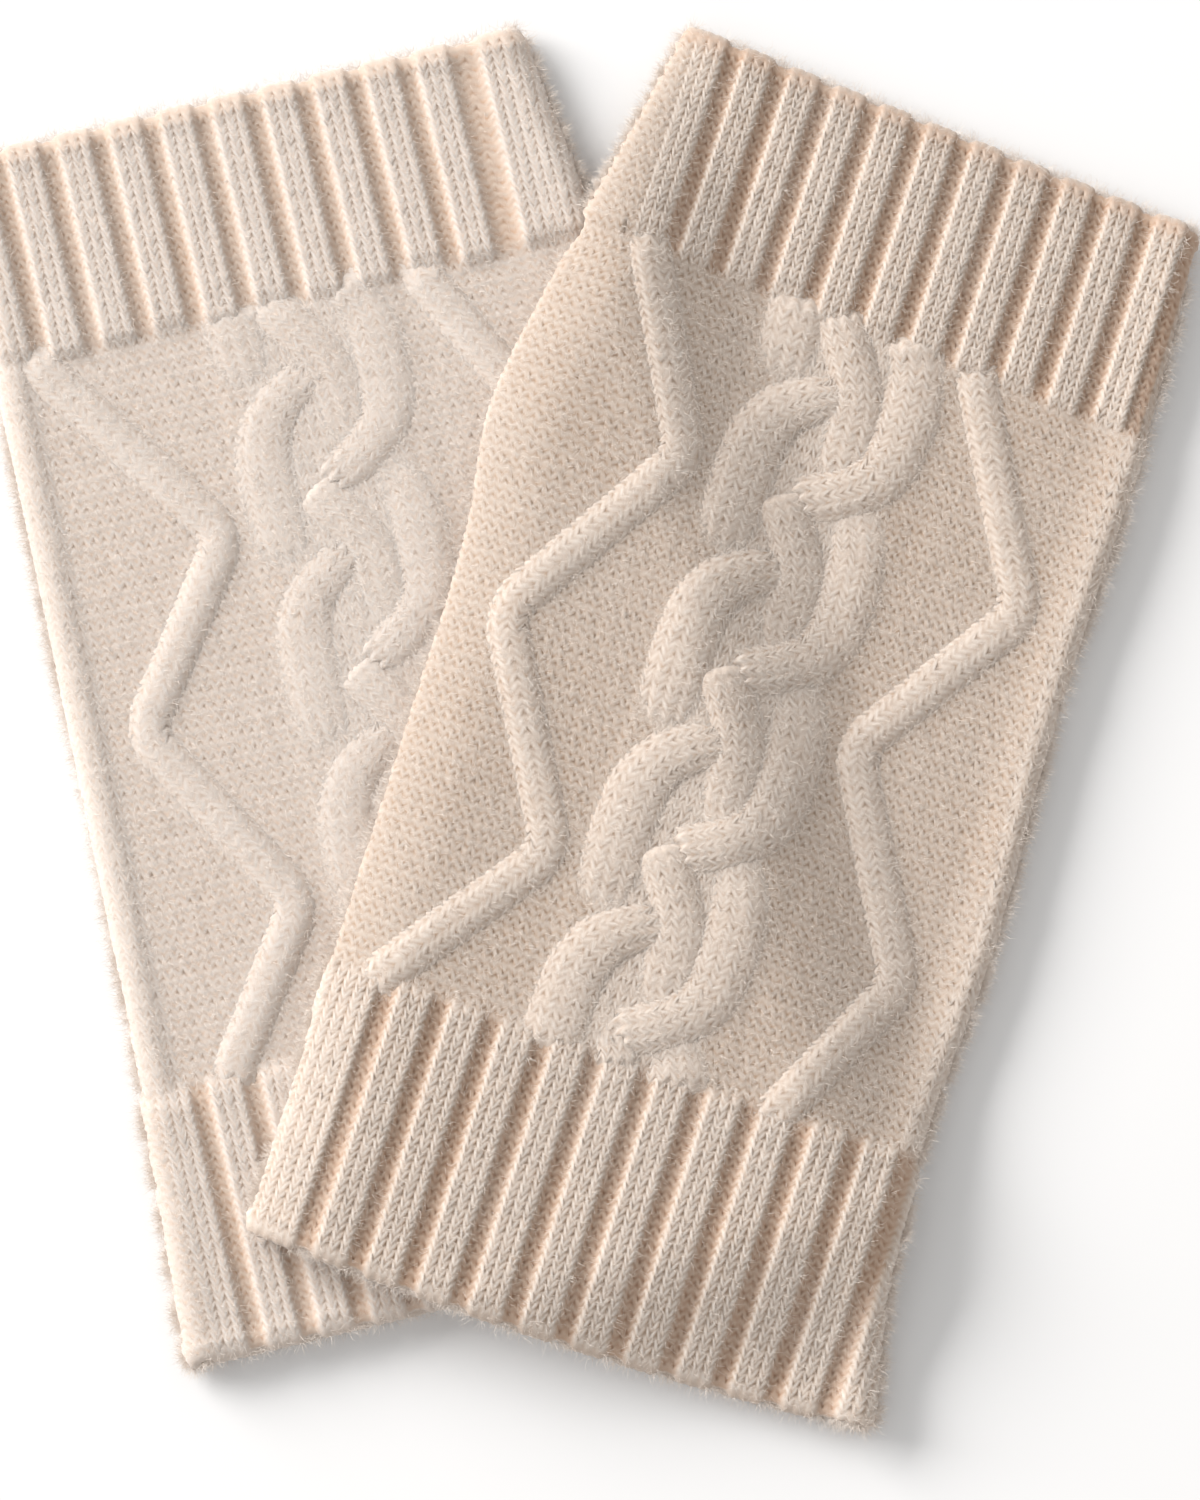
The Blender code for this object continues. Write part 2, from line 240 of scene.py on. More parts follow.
@dataclass(frozen=True)
class Ribbing:
    """Where a cuff's troughs lie across the tube, and how its ribs end at the sides.

    Attributes:
        first_trough: Where the first trough lies.
        pitch: The distance from trough to trough.
        wide_trough: The number of a trough that is pulled open.
        opened: How far it is pulled open.
        left_side: The stitch that runs on over the left side, if the ribs stop there.
        right_side: The same on the right.
    """
    first_trough: float = 0.0
    pitch: float = 1.0
    wide_trough: int = 0
    opened: float = 0.0
    left_side: Optional[Stitch] = None
    right_side: Optional[Stitch] = None

    def place(self, wale: Array) -> Array:
        """Places wales across the cuff.

        Args:
            wale: The wales to place.

        Returns:
            Their places in millimetres.
        """
        period = np.floor(wale / RIB_WALES)
        within = np.interp(wale - RIB_WALES * period, WALE_STEPS, PLACE_STEPS)
        return self.first_trough + self.pitch * (period + within)

    def pulled(self, wale: Array) -> Array:
        """How far the open trough pushes a wale to the right."""
        past = wale + 1.0 - RIB_WALES * self.wide_trough
        return self.opened * share_of(past / TROUGH_WALES)

    def with_sides(self, share: Array, wale: Array, is_height: bool) -> Array:
        """Puts what the sides have in place of the ribs' rhythm.

        Args:
            share: The ribs' height or their share of V stitch, 0 to 1.
            wale: The wales that it is given for.
            is_height: Whether it is the height: a left side of purl stands high too.

        Returns:
            The share with the sides in it.
        """
        if self.left_side is Stitch.KNIT or (self.left_side and is_height):
            share = np.where(wale < HALF_RIB, 1.0, share)
        elif self.left_side:
            share = np.where(wale < 1.0, 0.0, share)
        if self.right_side:
            knit = self.right_side is Stitch.KNIT
            first = FRONT_WALES - RIB_WALES - (HALF_RIB if knit else 0.0)
            on_right = (wale > first) & (wale < FRONT_WALES + RIB_WALES)
            share = np.where(on_right, float(knit), share)
        return share


@dataclass(frozen=True)
class Fold:
    """A side of the tube: how far its roundness reaches in, its swell, and its rib's width."""
    roll: float
    swell: float
    rib_width: float


@dataclass(frozen=True)
class Warmer:
    """One warmer's sizes and the form of its pressed tube, as its solids have them.

    Its lean is in degrees. Its stitches' depth and its ropes' height are shares of their forms'.
    The first fine wale is where the modelled stitches start, counted from the first trough.
    """
    name: str
    origin: tuple[float, float]
    lean: float
    length: float
    top_seam: float
    bottom_seam: float
    top_tilt: float
    bottom_bow: float
    sections: tuple[Section, ...]
    turns: tuple[Turn, ...]
    plait_top: float
    plait_bottom: float
    top_ribs: Ribbing
    bottom_ribs: Ribbing
    left_fold: Fold
    right_fold: Fold
    first_fine_wale: int
    stitch_depth: float
    rope_height: float
    seed: int

    def edges(self, along: Array) -> tuple[Array, Array]:
        """The left and right edges at each place along the warmer."""
        places, left, right = np.array([(s.along, s.left, s.right) for s in self.sections]).T
        return curve_through(places, left, along), curve_through(places, right, along)

    def folds(self, along: Array, places: Array) -> tuple[tuple[Fold, Array], ...]:
        """Each fold, with how far inside it each place across the warmer lies."""
        left, right = self.edges(along)
        return (self.left_fold, places - left), (self.right_fold, right - places)

    def ridge_middles(self, along: Array) -> tuple[Array, Array]:
        """Finds the ridges, with rounded corners.

        Args:
            along: Places along the warmer.

        Returns:
            Where the left and the right ridge lie across it.
        """
        near = np.stack([along - RIDGE_BEND, along, along + RIDGE_BEND])
        left = [(turn.along, turn.left_ridge) for turn in self.turns]
        right = [(turn.along + turn.right_lag, turn.right_ridge) for turn in self.turns]
        return tuple(np.interp(near, *zip(*corners)).mean(axis=0) for corners in (left, right))

    def plait_middle(self, along: Array) -> Array:
        """Where the plait's middle line lies across the warmer."""
        return self.plait_top + (self.plait_bottom - self.plait_top) * along / self.length

    def directions(self) -> tuple[tuple[float, float], tuple[float, float]]:
        """Unit vectors along and across the warmer, on the table."""
        lean = math.radians(self.lean)
        return (math.sin(lean), -math.cos(lean)), (math.cos(lean), math.sin(lean))

    def on_table(self, along: Array, across: Array) -> tuple[Array, Array]:
        """Turns the warmer's places into the table's.

        Args:
            along: Places along the warmer.
            across: Places across it.

        Returns:
            Their x and y on the table.
        """
        down, over = self.directions()
        left, right = self.edges(along)
        from_middle = (2.0 * across - left - right) / (right - left)
        reached = share_of(along / self.length)
        along = along + self.top_tilt * (1.0 - reached) * across
        along = along + self.bottom_bow * reached ** BOW_POWER * (1.0 - from_middle ** 2)
        x = self.origin[0] + along * down[0] + across * over[0]
        y = self.origin[1] + along * down[1] + across * over[1]
        return x, y

    def support_height(self, x: Array, y: Array) -> Array:
        """Finds how high the underside lies: on the table, or over the lower warmer.

        Args:
            x: Places on the table, to the right.
            y: The same, away from the viewer.

        Returns:
            The height of what this warmer lies on there.
        """
        if self is LOWER:
            return np.zeros_like(x)
        down, over = LOWER.directions()
        dx, dy = x - LOWER.origin[0], y - LOWER.origin[1]
        along, across = dx * down[0] + dy * down[1], dx * over[0] + dy * over[1]
        inside_right = LOWER.edges(along)[1] - across
        inside_hem = LOWER.length - along
        span = DRAPE_REACH + DRAPE_INSET
        right_share = smooth((inside_right + DRAPE_REACH) / span)
        return REST_HEIGHT * right_share * smooth((inside_hem + DRAPE_REACH) / span)

    def tube_point(self, along: Array, across: Array, side: Array, rise: Array,
                   inner: bool = False) -> Array:
        """Points of the tube's outside or inside.

        Args:
            along: Places along the warmer.
            across: Places across it, between its edges.
            side: 1 on the front and -1 on the back.
            rise: How far each point stands out from the plain tube.
            inner: Whether the points are on the inside of the wall.

        Returns:
            Their x, y and z in the last axis, in millimetres.
        """
        left, right = self.edges(along)
        near_left = across - left < right - across
        roll = np.where(near_left, self.left_fold.roll, self.right_fold.roll)
        swell = np.where(near_left, self.left_fold.swell, self.right_fold.swell)
        depth = np.maximum(0.0, np.minimum(across - left, right - across))
        swell = swell * bell(depth / roll)
        half = HALF_TUBE + swell
        outward = np.where(near_left, -1.0, 1.0)
        start, reach, height = 0.0, roll, half
        if inner:
            start, reach, height = SIDE_WALL, roll * INNER_ROLL_REACH, HALF_HOLLOW + swell
        cosine = 1.0 - share_of((depth - start) / reach)
        sine = np.sqrt(1.0 - cosine * cosine)
        slant = np.hypot(half * cosine, reach * sine)
        placed = across + rise * outward * half * cosine / slant
        x, y = self.on_table(along, placed)
        droop = EDGE_DROOP * bell((across - left) / EDGE_DROOP_REACH)
        floor = self.support_height(x, y) * (1.0 - droop)
        z = floor + half + side * (height * sine + rise * reach * sine / slant)
        return np.stack([x, y, np.maximum(z, floor + TABLE_GAP)], axis=-1)

    def round_point(self, along: Array, round_place: Array, rise: Array,
                    inner: bool = False) -> Array:
        """Points of the tube, for places counted on past an edge to the back.

        Args:
            along: Places along the warmer.
            round_place: Places across its front and on over its back.
            rise: How far each point stands out from the plain tube.
            inner: Whether the points are on the inside of the wall.

        Returns:
            Their x, y and z in the last axis, in millimetres.
        """
        left, right = self.edges(along)
        width = right - left
        turned = np.mod(round_place - left, 2.0 * width)
        front = turned <= width
        across = left + np.where(front, turned, 2.0 * width - turned)
        if inner:
            across = np.clip(across, left + SIDE_WALL, right - SIDE_WALL)
        return self.tube_point(along, across, np.where(front, 1.0, -1.0), rise, inner)


LOWER = Warmer(
    name="lower", origin=(-56.72, 100.64), lean=13.44, length=196.0,
    top_seam=34.8, bottom_seam=153.6, top_tilt=0.0, bottom_bow=0.0,
    sections=(
        Section(0, -43.5, 47.6),
        Section(12, -44.8, 49.2),
        Section(32, -46.8, 51.8),
        Section(60, -47.7, 51.6),
        Section(100, -48.4, 50.6),
        Section(146, -49.7, 50.0),
        Section(170, -50.8, 50.2),
        Section(196, -52.3, 51.0),
    ),
    turns=(
        Turn(34, -41.0, 22.6),
        Turn(69, -17.0, 40.0),
        Turn(97, -37.0, 23.5),
        Turn(129, -18.7, 39.0),
        Turn(154, -36.0, 24.0),
    ),
    plait_top=3.4, plait_bottom=2.0,
    top_ribs=Ribbing(-47.6, 8.475, wide_trough=10, opened=2.0, right_side=Stitch.KNIT),
    bottom_ribs=Ribbing(-49.6, 8.5, left_side=Stitch.PURL),
    left_fold=Fold(roll=4.0, swell=0.3, rib_width=6.2),
    right_fold=Fold(roll=4.0, swell=0.3, rib_width=0.0),
    first_fine_wale=-3, stitch_depth=0.75, rope_height=0.7, seed=11,
)

UPPER = Warmer(
    name="upper", origin=(58.28, 95.04), lean=-17.82, length=201.0,
    top_seam=35.0, bottom_seam=158.0, top_tilt=0.078, bottom_bow=2.0,
    sections=(
        Section(0, -44.4, 44.2),
        Section(25, -48.7, 45.8),
        Section(48, -53.4, 46.0),
        Section(69, -56.0, 45.4),
        Section(86, -53.6, 45.5),
        Section(121, -52.8, 47.0),
        Section(158, -52.4, 45.6),
        Section(180, -51.2, 46.9),
        Section(201, -51.6, 51.2),
    ),
    turns=(
        Turn(34, -40.2, 16.1),
        Turn(65, -23.4, 35.4, right_lag=3.7),
        Turn(98, -43.4, 16.2, right_lag=0.8),
        Turn(131, -24.3, 34.6, right_lag=1.2),
        Turn(160, -45.6, 20.6, right_lag=1.0),
    ),
    plait_top=-1.6, plait_bottom=-4.6,
    top_ribs=Ribbing(-44.0, 7.93, left_side=Stitch.PURL, right_side=Stitch.PURL),
    bottom_ribs=Ribbing(-50.8, 8.59, left_side=Stitch.KNIT),
    left_fold=Fold(roll=13.0, swell=0.6, rib_width=0.0),
    right_fold=Fold(roll=5.0, swell=1.0, rib_width=3.6),
    first_fine_wale=-4, stitch_depth=0.9, rope_height=1.0, seed=23,
)


@dataclass
class Relief:
    """A grid of surface points with its stitch coordinates and its shade at each point.

    Attributes:
        points: Rows by columns by x, y and z, in millimetres.
        wales: The wale coordinate of each column, one more than the columns.
        courses: The course coordinate of each row, one more than the rows if they close.
        shade: Rows by columns by yarn height, trough depth and knit share, each 0 to 1; the first
            two set painted shade.
        closed_rows: Whether the last row joins the first, or else each end has a cap.
    """
    points: Array
    wales: Array
    courses: Array
    shade: Array
    closed_rows: bool

    def mesh(self, name: str) -> Mesh:
        """Makes the grid into a smooth mesh that is closed round its columns.

        Args:
            name: What to call the mesh.

        Returns:
            The mesh, with its stitch coordinates and its shade.
        """
        rows, columns = self.points.shape[:2]
        near = np.arange(columns)
        i, j = np.meshgrid(np.arange(rows if self.closed_rows else rows - 1), near, indexing="ij")
        below, beyond = (i + 1) % rows, (j + 1) % columns
        corners = [i * columns + j, below * columns + j,
                   below * columns + beyond, i * columns + beyond]
        faces = np.stack(corners, axis=-1).reshape(-1, 4).tolist()
        across = self.wales[np.stack([j, j, j + 1, j + 1], axis=-1)]
        down = self.courses[np.stack([i, i + 1, i + 1, i], axis=-1)]
        places = np.stack([across, down], axis=-1).reshape(-1, 2)
        if not self.closed_rows:
            for turn, row in ((near[::-1], 0), (near, rows - 1)):
                faces.append((turn + row * columns).tolist())
                end = np.stack([self.wales[turn], np.full(columns, self.courses[row])], axis=-1)
                places = np.concatenate([places, end])
        data = bpy.data.meshes.new(name)
        data.from_pydata((self.points.reshape(-1, 3) * MM).tolist(), [], faces)
        stitches = data.uv_layers.new(name=STITCH_LAYER)
        stitches.data.foreach_set("uv", places.astype(np.float32).ravel())
        shade = data.color_attributes.new(SHADE_LAYER, "FLOAT_COLOR", "POINT")
        whole = np.concatenate([self.shade, np.ones((rows, columns, 1))], axis=-1)
        shade.data.foreach_set("color", whole.astype(np.float32).ravel())
        data.polygons.foreach_set("use_smooth", np.ones(len(faces), dtype=bool))
        return data


def place_piece(data: Mesh, material: Material) -> Piece:
    """Puts a mesh into the scene as a piece that rides on the pair's one body.

    Args:
        data: The piece's mesh, which has its name.
        material: Its finish.

    Returns:
        The piece.
    """
    data.materials.append(material)
    piece = bpy.data.objects.new(data.name, data)
    bpy.context.scene.collection.objects.link(piece)
    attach(piece, "root")
    LOG.info("%s: %d faces", data.name, len(data.polygons))
    return piece


@dataclass
class KnitTube:
    """The pressed tube of one warmer: two ribbed cuffs and a purl body, knitted in one.

    Its heights, reaches and fades are in millimetres, and what ends in share or calm is a share.
    """
    warmer: Warmer
    past_edge: float = 2.0
    back_step: float = 1.25
    rib_rise: float = 1.0
    rib_floor: float = 0.7
    rib_mouth: float = 2.05
    rib_fade: float = 3.2
    rib_end_share: float = 0.35
    rib_end_reach: float = 1.2
    rib_end_uneven: float = 1.3
    rib_end_rhythm: float = 2.4
    trough_shade_edge: float = 0.55
    trough_shade_soft: float = 0.35
    seam_blend: float = 1.6
    pull_fade: float = 25.0
    stretch_wales: float = 15.0
    stretch_fade: float = 12.0
    stitch_change: float = 1.2
    fold_rib_rise: float = 0.45
    fold_rib_slope: float = 3.0
    fold_rib_behind: float = 3.0
    fold_turn: float = 1.2
    back_groove: float = 0.8
    puff_rise: float = 0.2
    puff_reach: float = 3.6
    plait_half: float = 14.0
    plait_margin: float = 2.0
    plait_ground: float = 0.35
    fold_relief: float = 0.7
    fold_reach: float = 3.0
    inner_rows: int = 20
    inner_courses: float = 2.0
    hem_rib_share: float = 0.55
    hem_rib_reach: float = 2.8
    hem_calm: float = 0.25
    hem_calm_reach: float = 1.4
    hem_roll: float = 0.45
    hem_roll_place: float = 1.3
    hem_shade: float = 0.8
    hem_shade_reach: float = 2.0
    hem_bulge: float = 0.5
    rib_bulge: float = 0.9
    rim_rows: int = 3

    def columns(self) -> tuple[Array, Array]:
        """Spaces the columns of points round the tube.

        Returns:
            The wale of each column, and whether stitches are modelled there.
        """
        first, last = self.warmer.first_fine_wale, FRONT_WALES + self.past_edge
        column = 1.0 / COLUMNS_PER_WALE
        fine = np.arange(first, last + 0.5 * column, column)
        end = RING_WALES + first - 0.5 * self.back_step
        wales = np.concatenate([fine, np.arange(last + self.back_step, end, self.back_step)])
        return wales, np.arange(len(wales)) < len(fine)

    def body_share(self, along: Array) -> Array:
        """Tells the body from the cuffs.

        Args:
            along: Places along the warmer.

        Returns:
            1 in the body, 0 in the cuffs, and a blend at the seams.
        """
        seams = (self.warmer.top_seam, self.warmer.bottom_seam)
        past = [smooth((along - seam + self.seam_blend) / (2.0 * self.seam_blend))
                for seam in seams]
        return past[0] - past[1]

    def in_far_cuff(self, along: Array) -> Array:
        """Whether each place lies in the warmer's far half."""
        return along < 0.5 * self.warmer.length

    def round_places(self, along: Array, wales: Array) -> Array:
        """Where each wale lies round the tube, counted across the front and on over the back.

        Args:
            along: Places along the warmer.
            wales: The wales to place.

        Returns:
            Their places in millimetres.
        """
        warmer = self.warmer
        left, right = warmer.edges(along)
        share = self.body_share(along)
        past_seam = along - warmer.top_seam
        reached = smooth(past_seam / (warmer.bottom_seam - warmer.top_seam))
        top, bottom = warmer.top_ribs, warmer.bottom_ribs
        first_trough = blend(top.first_trough, bottom.first_trough, reached)
        pitch = blend(top.pitch, bottom.pitch, reached)
        outermost = warmer.first_fine_wale + 1.0
        short = np.maximum(0.0, first_trough + pitch * outermost / RIB_WALES - left)
        short = short * smooth(past_seam / self.stretch_fade)

        def front_place(wale: Array) -> Array:
            """Places a wale across the front.

            Args:
                wale: The wale to place.

            Returns:
                Its place in millimetres.
            """
            ribbed = Ribbing().place(wale)
            place = first_trough + pitch * blend(ribbed, wale / RIB_WALES, share)
            stretched = smooth((outermost + self.stretch_wales - wale) / self.stretch_wales)
            pull = 1.0 - smooth(past_seam / self.pull_fade)
            return place - short * stretched + top.pulled(wale) * pull

        first, last = float(warmer.first_fine_wale), FRONT_WALES + self.past_edge
        end = front_place(np.array(last))
        again = front_place(np.array(first)) + 2.0 * (right - left)
        back = end + (again - end) * (wales - last) / (RING_WALES + first - last)
        return np.where(wales <= last, front_place(wales), back)

    def knit_share(self, along: Array, wales: Array) -> Array:
        """Tells V stitches from wavy bars.

        Args:
            along: Places along the warmer.
            wales: Their wales.

        Returns:
            1 for V stitches, 0 for wavy bars, and a blend between them.
        """
        warmer, change = self.warmer, self.stitch_change
        places = self.round_places(along, wales)
        body = 0.0
        for fold, inside in warmer.folds(along, places):
            if fold.rib_width:
                on_rib = smooth((fold.rib_width + 0.5 * change - inside) / change)
                body = body + on_rib * smooth(inside + self.fold_rib_behind)
        from_plait = np.abs(places - warmer.plait_middle(along))
        body = body + smooth((self.plait_half - self.plait_margin - from_plait) / change)
        cuff = 0.0
        for beside in TO_EITHER_SIDE:
            within = np.mod(wales + beside, RIB_WALES)
            on_rib = (within > 1.0) & (within < RIB_WALES - 1.0)
            cuff = cuff + on_rib / len(TO_EITHER_SIDE)
        cuffs = [ribs.with_sides(cuff, wales, False)
                 for ribs in (warmer.top_ribs, warmer.bottom_ribs)]
        cuff = np.where(self.in_far_cuff(along), *cuffs)
        return blend(cuff, body, self.body_share(along))

    def rib_profile(self, along: Array, wales: Array) -> tuple[Array, Array]:
        """How far up a rib's side each place of a cuff is, 0 in a trough and 1 on a rib.

        Args:
            along: Places along the warmer.
            wales: Their wales.

        Returns:
            The ribs' even rhythm, and the same with the sides as they are.
        """
        within = np.mod(wales, RIB_WALES)
        from_trough = np.interp(np.minimum(within, RIB_WALES - within), (0.0, 1.0, HALF_RIB),
                                (0.0, TROUGH_SHARE, 0.5))
        even, shares = [], []
        for ribs in (self.warmer.top_ribs, self.warmer.bottom_ribs):
            up = (from_trough * ribs.pitch - self.rib_floor) / (self.rib_mouth - self.rib_floor)
            even.append(smooth(up))
            shares.append(ribs.with_sides(even[-1], wales, True))
        far = self.in_far_cuff(along)
        return np.where(far, *even), np.where(far, *shares)

    def front_rise(self, along: Array, wales: Array, places: Array) -> Array:
        """The height of the ribs, the fold's rib and the soft swell beside ridges and ropes.

        Args:
            along: Places along the warmer.
            wales: Their wales.
            places: Where those wales lie round the tube.

        Returns:
            The height over the plain tube, in millimetres.
        """
        warmer = self.warmer
        far = self.in_far_cuff(along)
        from_hem = np.where(far, along, warmer.length - along)
        from_seam = np.where(far, warmer.top_seam - along, along - warmer.bottom_seam)
        rhythm = np.sin(self.rib_end_rhythm * np.floor(wales / RIB_WALES) + warmer.seed)
        reach = self.rib_end_reach + self.rib_end_uneven * rhythm
        full = smooth((from_seam + reach) / self.rib_fade)
        fade = blend(self.rib_end_share, 1.0, full)
        hem = blend(self.hem_rib_share, 1.0, smooth(from_hem / self.hem_rib_reach))
        cuff = self.rib_rise * self.rib_profile(along, wales)[1] * fade * hem
        cuff = cuff + self.hem_roll * bell((from_hem - self.hem_roll_place) / self.hem_roll_place)
        body = 0.0
        for fold, inside in warmer.folds(along, places):
            if fold.rib_width:
                on_rib = smooth((fold.rib_width - inside) / self.fold_rib_slope)
                body = body + self.fold_rib_rise * on_rib
        for middle in warmer.ridge_middles(along):
            body = body + self.puff_rise * bell((places - middle) / self.puff_reach)
        beside = np.abs(places - warmer.plait_middle(along)) - self.plait_half
        body = body + self.puff_rise * smooth(1.0 - beside / self.puff_reach)
        body = body - (self.puff_rise - self.plait_ground) * smooth(-beside / self.puff_reach)
        return blend(cuff, body, self.body_share(along))

    def stitch_relief(self, knit: Array, body: Array, phase: Array,
                      row: Array) -> tuple[Array, Array]:
        """How far each point's row leads, and how high its yarn stands.

        Args:
            knit: The share of V stitch at each point.
            body: The share of the body, where V stitches are loose.
            phase: Which of its wale's four columns each point is on.
            row: The number of each row, two to a course.

        Returns:
            The lead along the warmer and the height, in millimetres.
        """
        shares = ((FORMS[Stitch.KNIT], knit * (1.0 - body)),
                  (FORMS[Stitch.LOOSE_KNIT], knit * body), (FORMS[Stitch.PURL], 1.0 - knit))
        lead = sum(np.array(form.lead)[phase] * share for form, share in shares)
        height = sum(form.height(phase, row) * share for form, share in shares)
        return lead, height

    def relief(self) -> Relief:
        """Works out the whole tube, outside, hems and inside, as one closed grid.

        Returns:
            The grid, closed round the tube and through it.
        """
        warmer = self.warmer
        random = np.random.default_rng(warmer.seed)
        ring, fine = self.columns()
        rows = ROWS_PER_COURSE * round(warmer.length / COURSE) + 1
        along = np.linspace(0.0, warmer.length, rows)[:, None]
        wales = ring[None, :]
        row = np.arange(rows)[:, None]
        phase = np.round(COLUMNS_PER_WALE * np.mod(wales, 1.0)).astype(int) % COLUMNS_PER_WALE
        knit = self.knit_share(along, wales)
        lead, height = self.stitch_relief(knit, self.body_share(along), phase, row)
        from_hem = np.minimum(along, warmer.length - along)
        calm = blend(self.hem_calm, 1.0, smooth(from_hem / self.hem_calm_reach)) * fine
        jitter = random.normal(0.0, 1.0, (3, rows, len(ring)))
        lead = (lead + LEAD_JITTER * jitter[0]) * calm
        height = (height + HEIGHT_JITTER * jitter[1]) * calm * warmer.stitch_depth
        moved = along + lead
        places = self.round_places(moved, wales) + PLACE_JITTER * jitter[2] * calm
        rise = self.front_rise(moved, wales, places)
        folds = warmer.folds(moved, places)
        for _, inside in folds:
            height = height * blend(self.fold_relief, 1.0, smooth(inside / self.fold_reach))
        behind = smooth(np.maximum(-folds[0][1], -folds[1][1]) / self.fold_turn)
        behind = np.where(fine, behind, 1.0)
        even, share = self.rib_profile(moved, wales)
        in_cuff = 1.0 - self.body_share(moved)
        groove = -self.back_groove * (1.0 - share) * in_cuff
        rise = (rise + height) * (1.0 - behind) + groove * behind
        outside = warmer.round_point(moved, places, rise)
        lines = self.wrap_inside(outside, ring)
        # Yarn height: where it is low, the finish paints shade between the stitches
        yarn = np.where(fine, yarn_shade(height), PLAIN_SHADE[0])
        # Painted trough shade: full on the troughs' floors, gone up the ribs' sides, in the cuffs
        # only
        trough_shade = smooth((self.trough_shade_edge - np.maximum(even, share)) / self.trough_shade_soft)
        trough_shade = trough_shade * in_cuff
        # A band of painted trough shade along the top hem, a warm tint for light coming through
        # the thin hem
        trough_shade = np.maximum(trough_shade, self.hem_shade * bell(moved / self.hem_shade_reach))
        shade = np.stack([yarn, trough_shade, knit], axis=-1)
        more = len(lines) - rows
        plain = np.broadcast_to(np.array(PLAIN_SHADE), (more, len(ring), 3))
        inner = rows / ROWS_PER_COURSE + self.inner_courses * np.arange(more + 1)
        return Relief(np.array(lines), np.append(ring, RING_WALES + ring[0]),
                      np.concatenate([np.arange(rows) / ROWS_PER_COURSE, inner]),
                      np.concatenate([shade, plain]), closed_rows=True)

    def wrap_inside(self, outside: Array, ring: Array) -> list[Array]:
        """Adds the rounded hems and the plain inside to the rows of the outside.

        Args:
            outside: The rows of the outside, from the top hem to the near hem.
            ring: The wale of each column.

        Returns:
            All rows in order, the last of which meets the first.
        """
        warmer = self.warmer
        down = np.array([*warmer.directions()[0], 0.0])
        along = np.linspace(warmer.length, 0.0, self.inner_rows)[:, None]
        places = self.round_places(along, ring[None, :])
        inside = warmer.round_point(along, places, np.zeros(1), inner=True)
        ribs = self.rib_profile(np.zeros(1), ring)[1]
        bulge = down * (0.5 * WALL * (self.hem_bulge + self.rib_bulge * ribs)[:, None])
        lines = [*outside, *self.rim(outside[-1], inside[0], bulge), *inside]
        return lines + self.rim(outside[0], inside[-1], -bulge)[::-1]

    def rim(self, start: Array, end: Array, bulge: Array) -> list[Array]:
        """The rows that go round a hem.

        Args:
            start: The last row outside.
            end: The first row inside.
            bulge: How far the hem's middle stands out, and which way.

        Returns:
            The rows from the outside to the inside.
        """
        turns = [math.pi * step / (self.rim_rows + 1) for step in range(1, self.rim_rows + 1)]
        return [blend(start, end, 0.5 - 0.5 * math.cos(turn)) + bulge * math.sin(turn)
                for turn in turns]

    def build(self, material: Material) -> Piece:
        """Makes the tube and puts it in place of its three solids.

        Args:
            material: The finish of its yarn.

        Returns:
            The tube.
        """
        name = self.warmer.name
        piece = place_piece(self.relief().mesh(f"{name}_knit_tube"), material)
        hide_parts(*[f"{name}_{part}" for part in ("top_cuff", "body", "bottom_cuff")])
        return piece


@dataclass(frozen=True)
class Waypoint:
    """A point on a rope's way through the plait, counted from the rope's first crossing."""
    along: float
    across: float
    half_width: float
    rise: float


ROPE_WAY = (
    # Over the middle of the plait, from the left
    Waypoint(-5.6, -5.2, 5.0, 1.0),
    Waypoint(-4.2, -4.2, 5.1, 1.2),
    Waypoint(-2.2, -2.7, 5.2, 1.4),
    Waypoint(0.5, -0.7, 5.2, 1.4),
    Waypoint(3.8, 1.3, 5.4, 1.25),
    Waypoint(7.0, 2.4, 5.8, 1.1),
    Waypoint(11.0, 2.7, 6.2, 0.95),
    # Under the rope that comes from the right
    Waypoint(15.5, 3.0, 6.1, 0.75),
    Waypoint(20.0, 4.8, 5.9, 0.5),
    Waypoint(24.0, 7.6, 5.9, 0.6),
    Waypoint(28.0, 9.5, 6.0, 0.9),
    Waypoint(33.0, 10.3, 6.2, 1.05),
    Waypoint(39.0, 10.4, 6.2, 1.1),
    # Over the middle of the plait, from the right
    Waypoint(43.5, 10.0, 6.0, 1.2),
    Waypoint(46.8, 8.7, 5.7, 1.3),
    Waypoint(49.4, 6.3, 5.4, 1.4),
    Waypoint(51.6, 3.4, 5.2, 1.4),
    Waypoint(53.0, 0.8, 5.0, 1.2),
    Waypoint(54.0, -1.2, 4.8, 0.9),
    Waypoint(54.7, -2.0, 4.2, 0.1),
    # Under the next rope that comes from the left, and out to the left
    Waypoint(57.0, -0.8, 4.5, 0.4),
    Waypoint(62.0, 0.2, 4.5, 0.35),
    Waypoint(65.8, -1.0, 4.7, 0.8),
    Waypoint(68.2, -4.6, 5.1, 1.2),
    Waypoint(71.4, -8.3, 5.6, 1.3),
    Waypoint(75.8, -10.4, 6.1, 1.2),
    Waypoint(81.5, -11.0, 6.3, 1.1),
    Waypoint(88.0, -11.0, 6.3, 1.0),
    Waypoint(93.5, -10.6, 6.1, 0.7),
    Waypoint(98.0, -10.0, 5.4, -0.1),
)


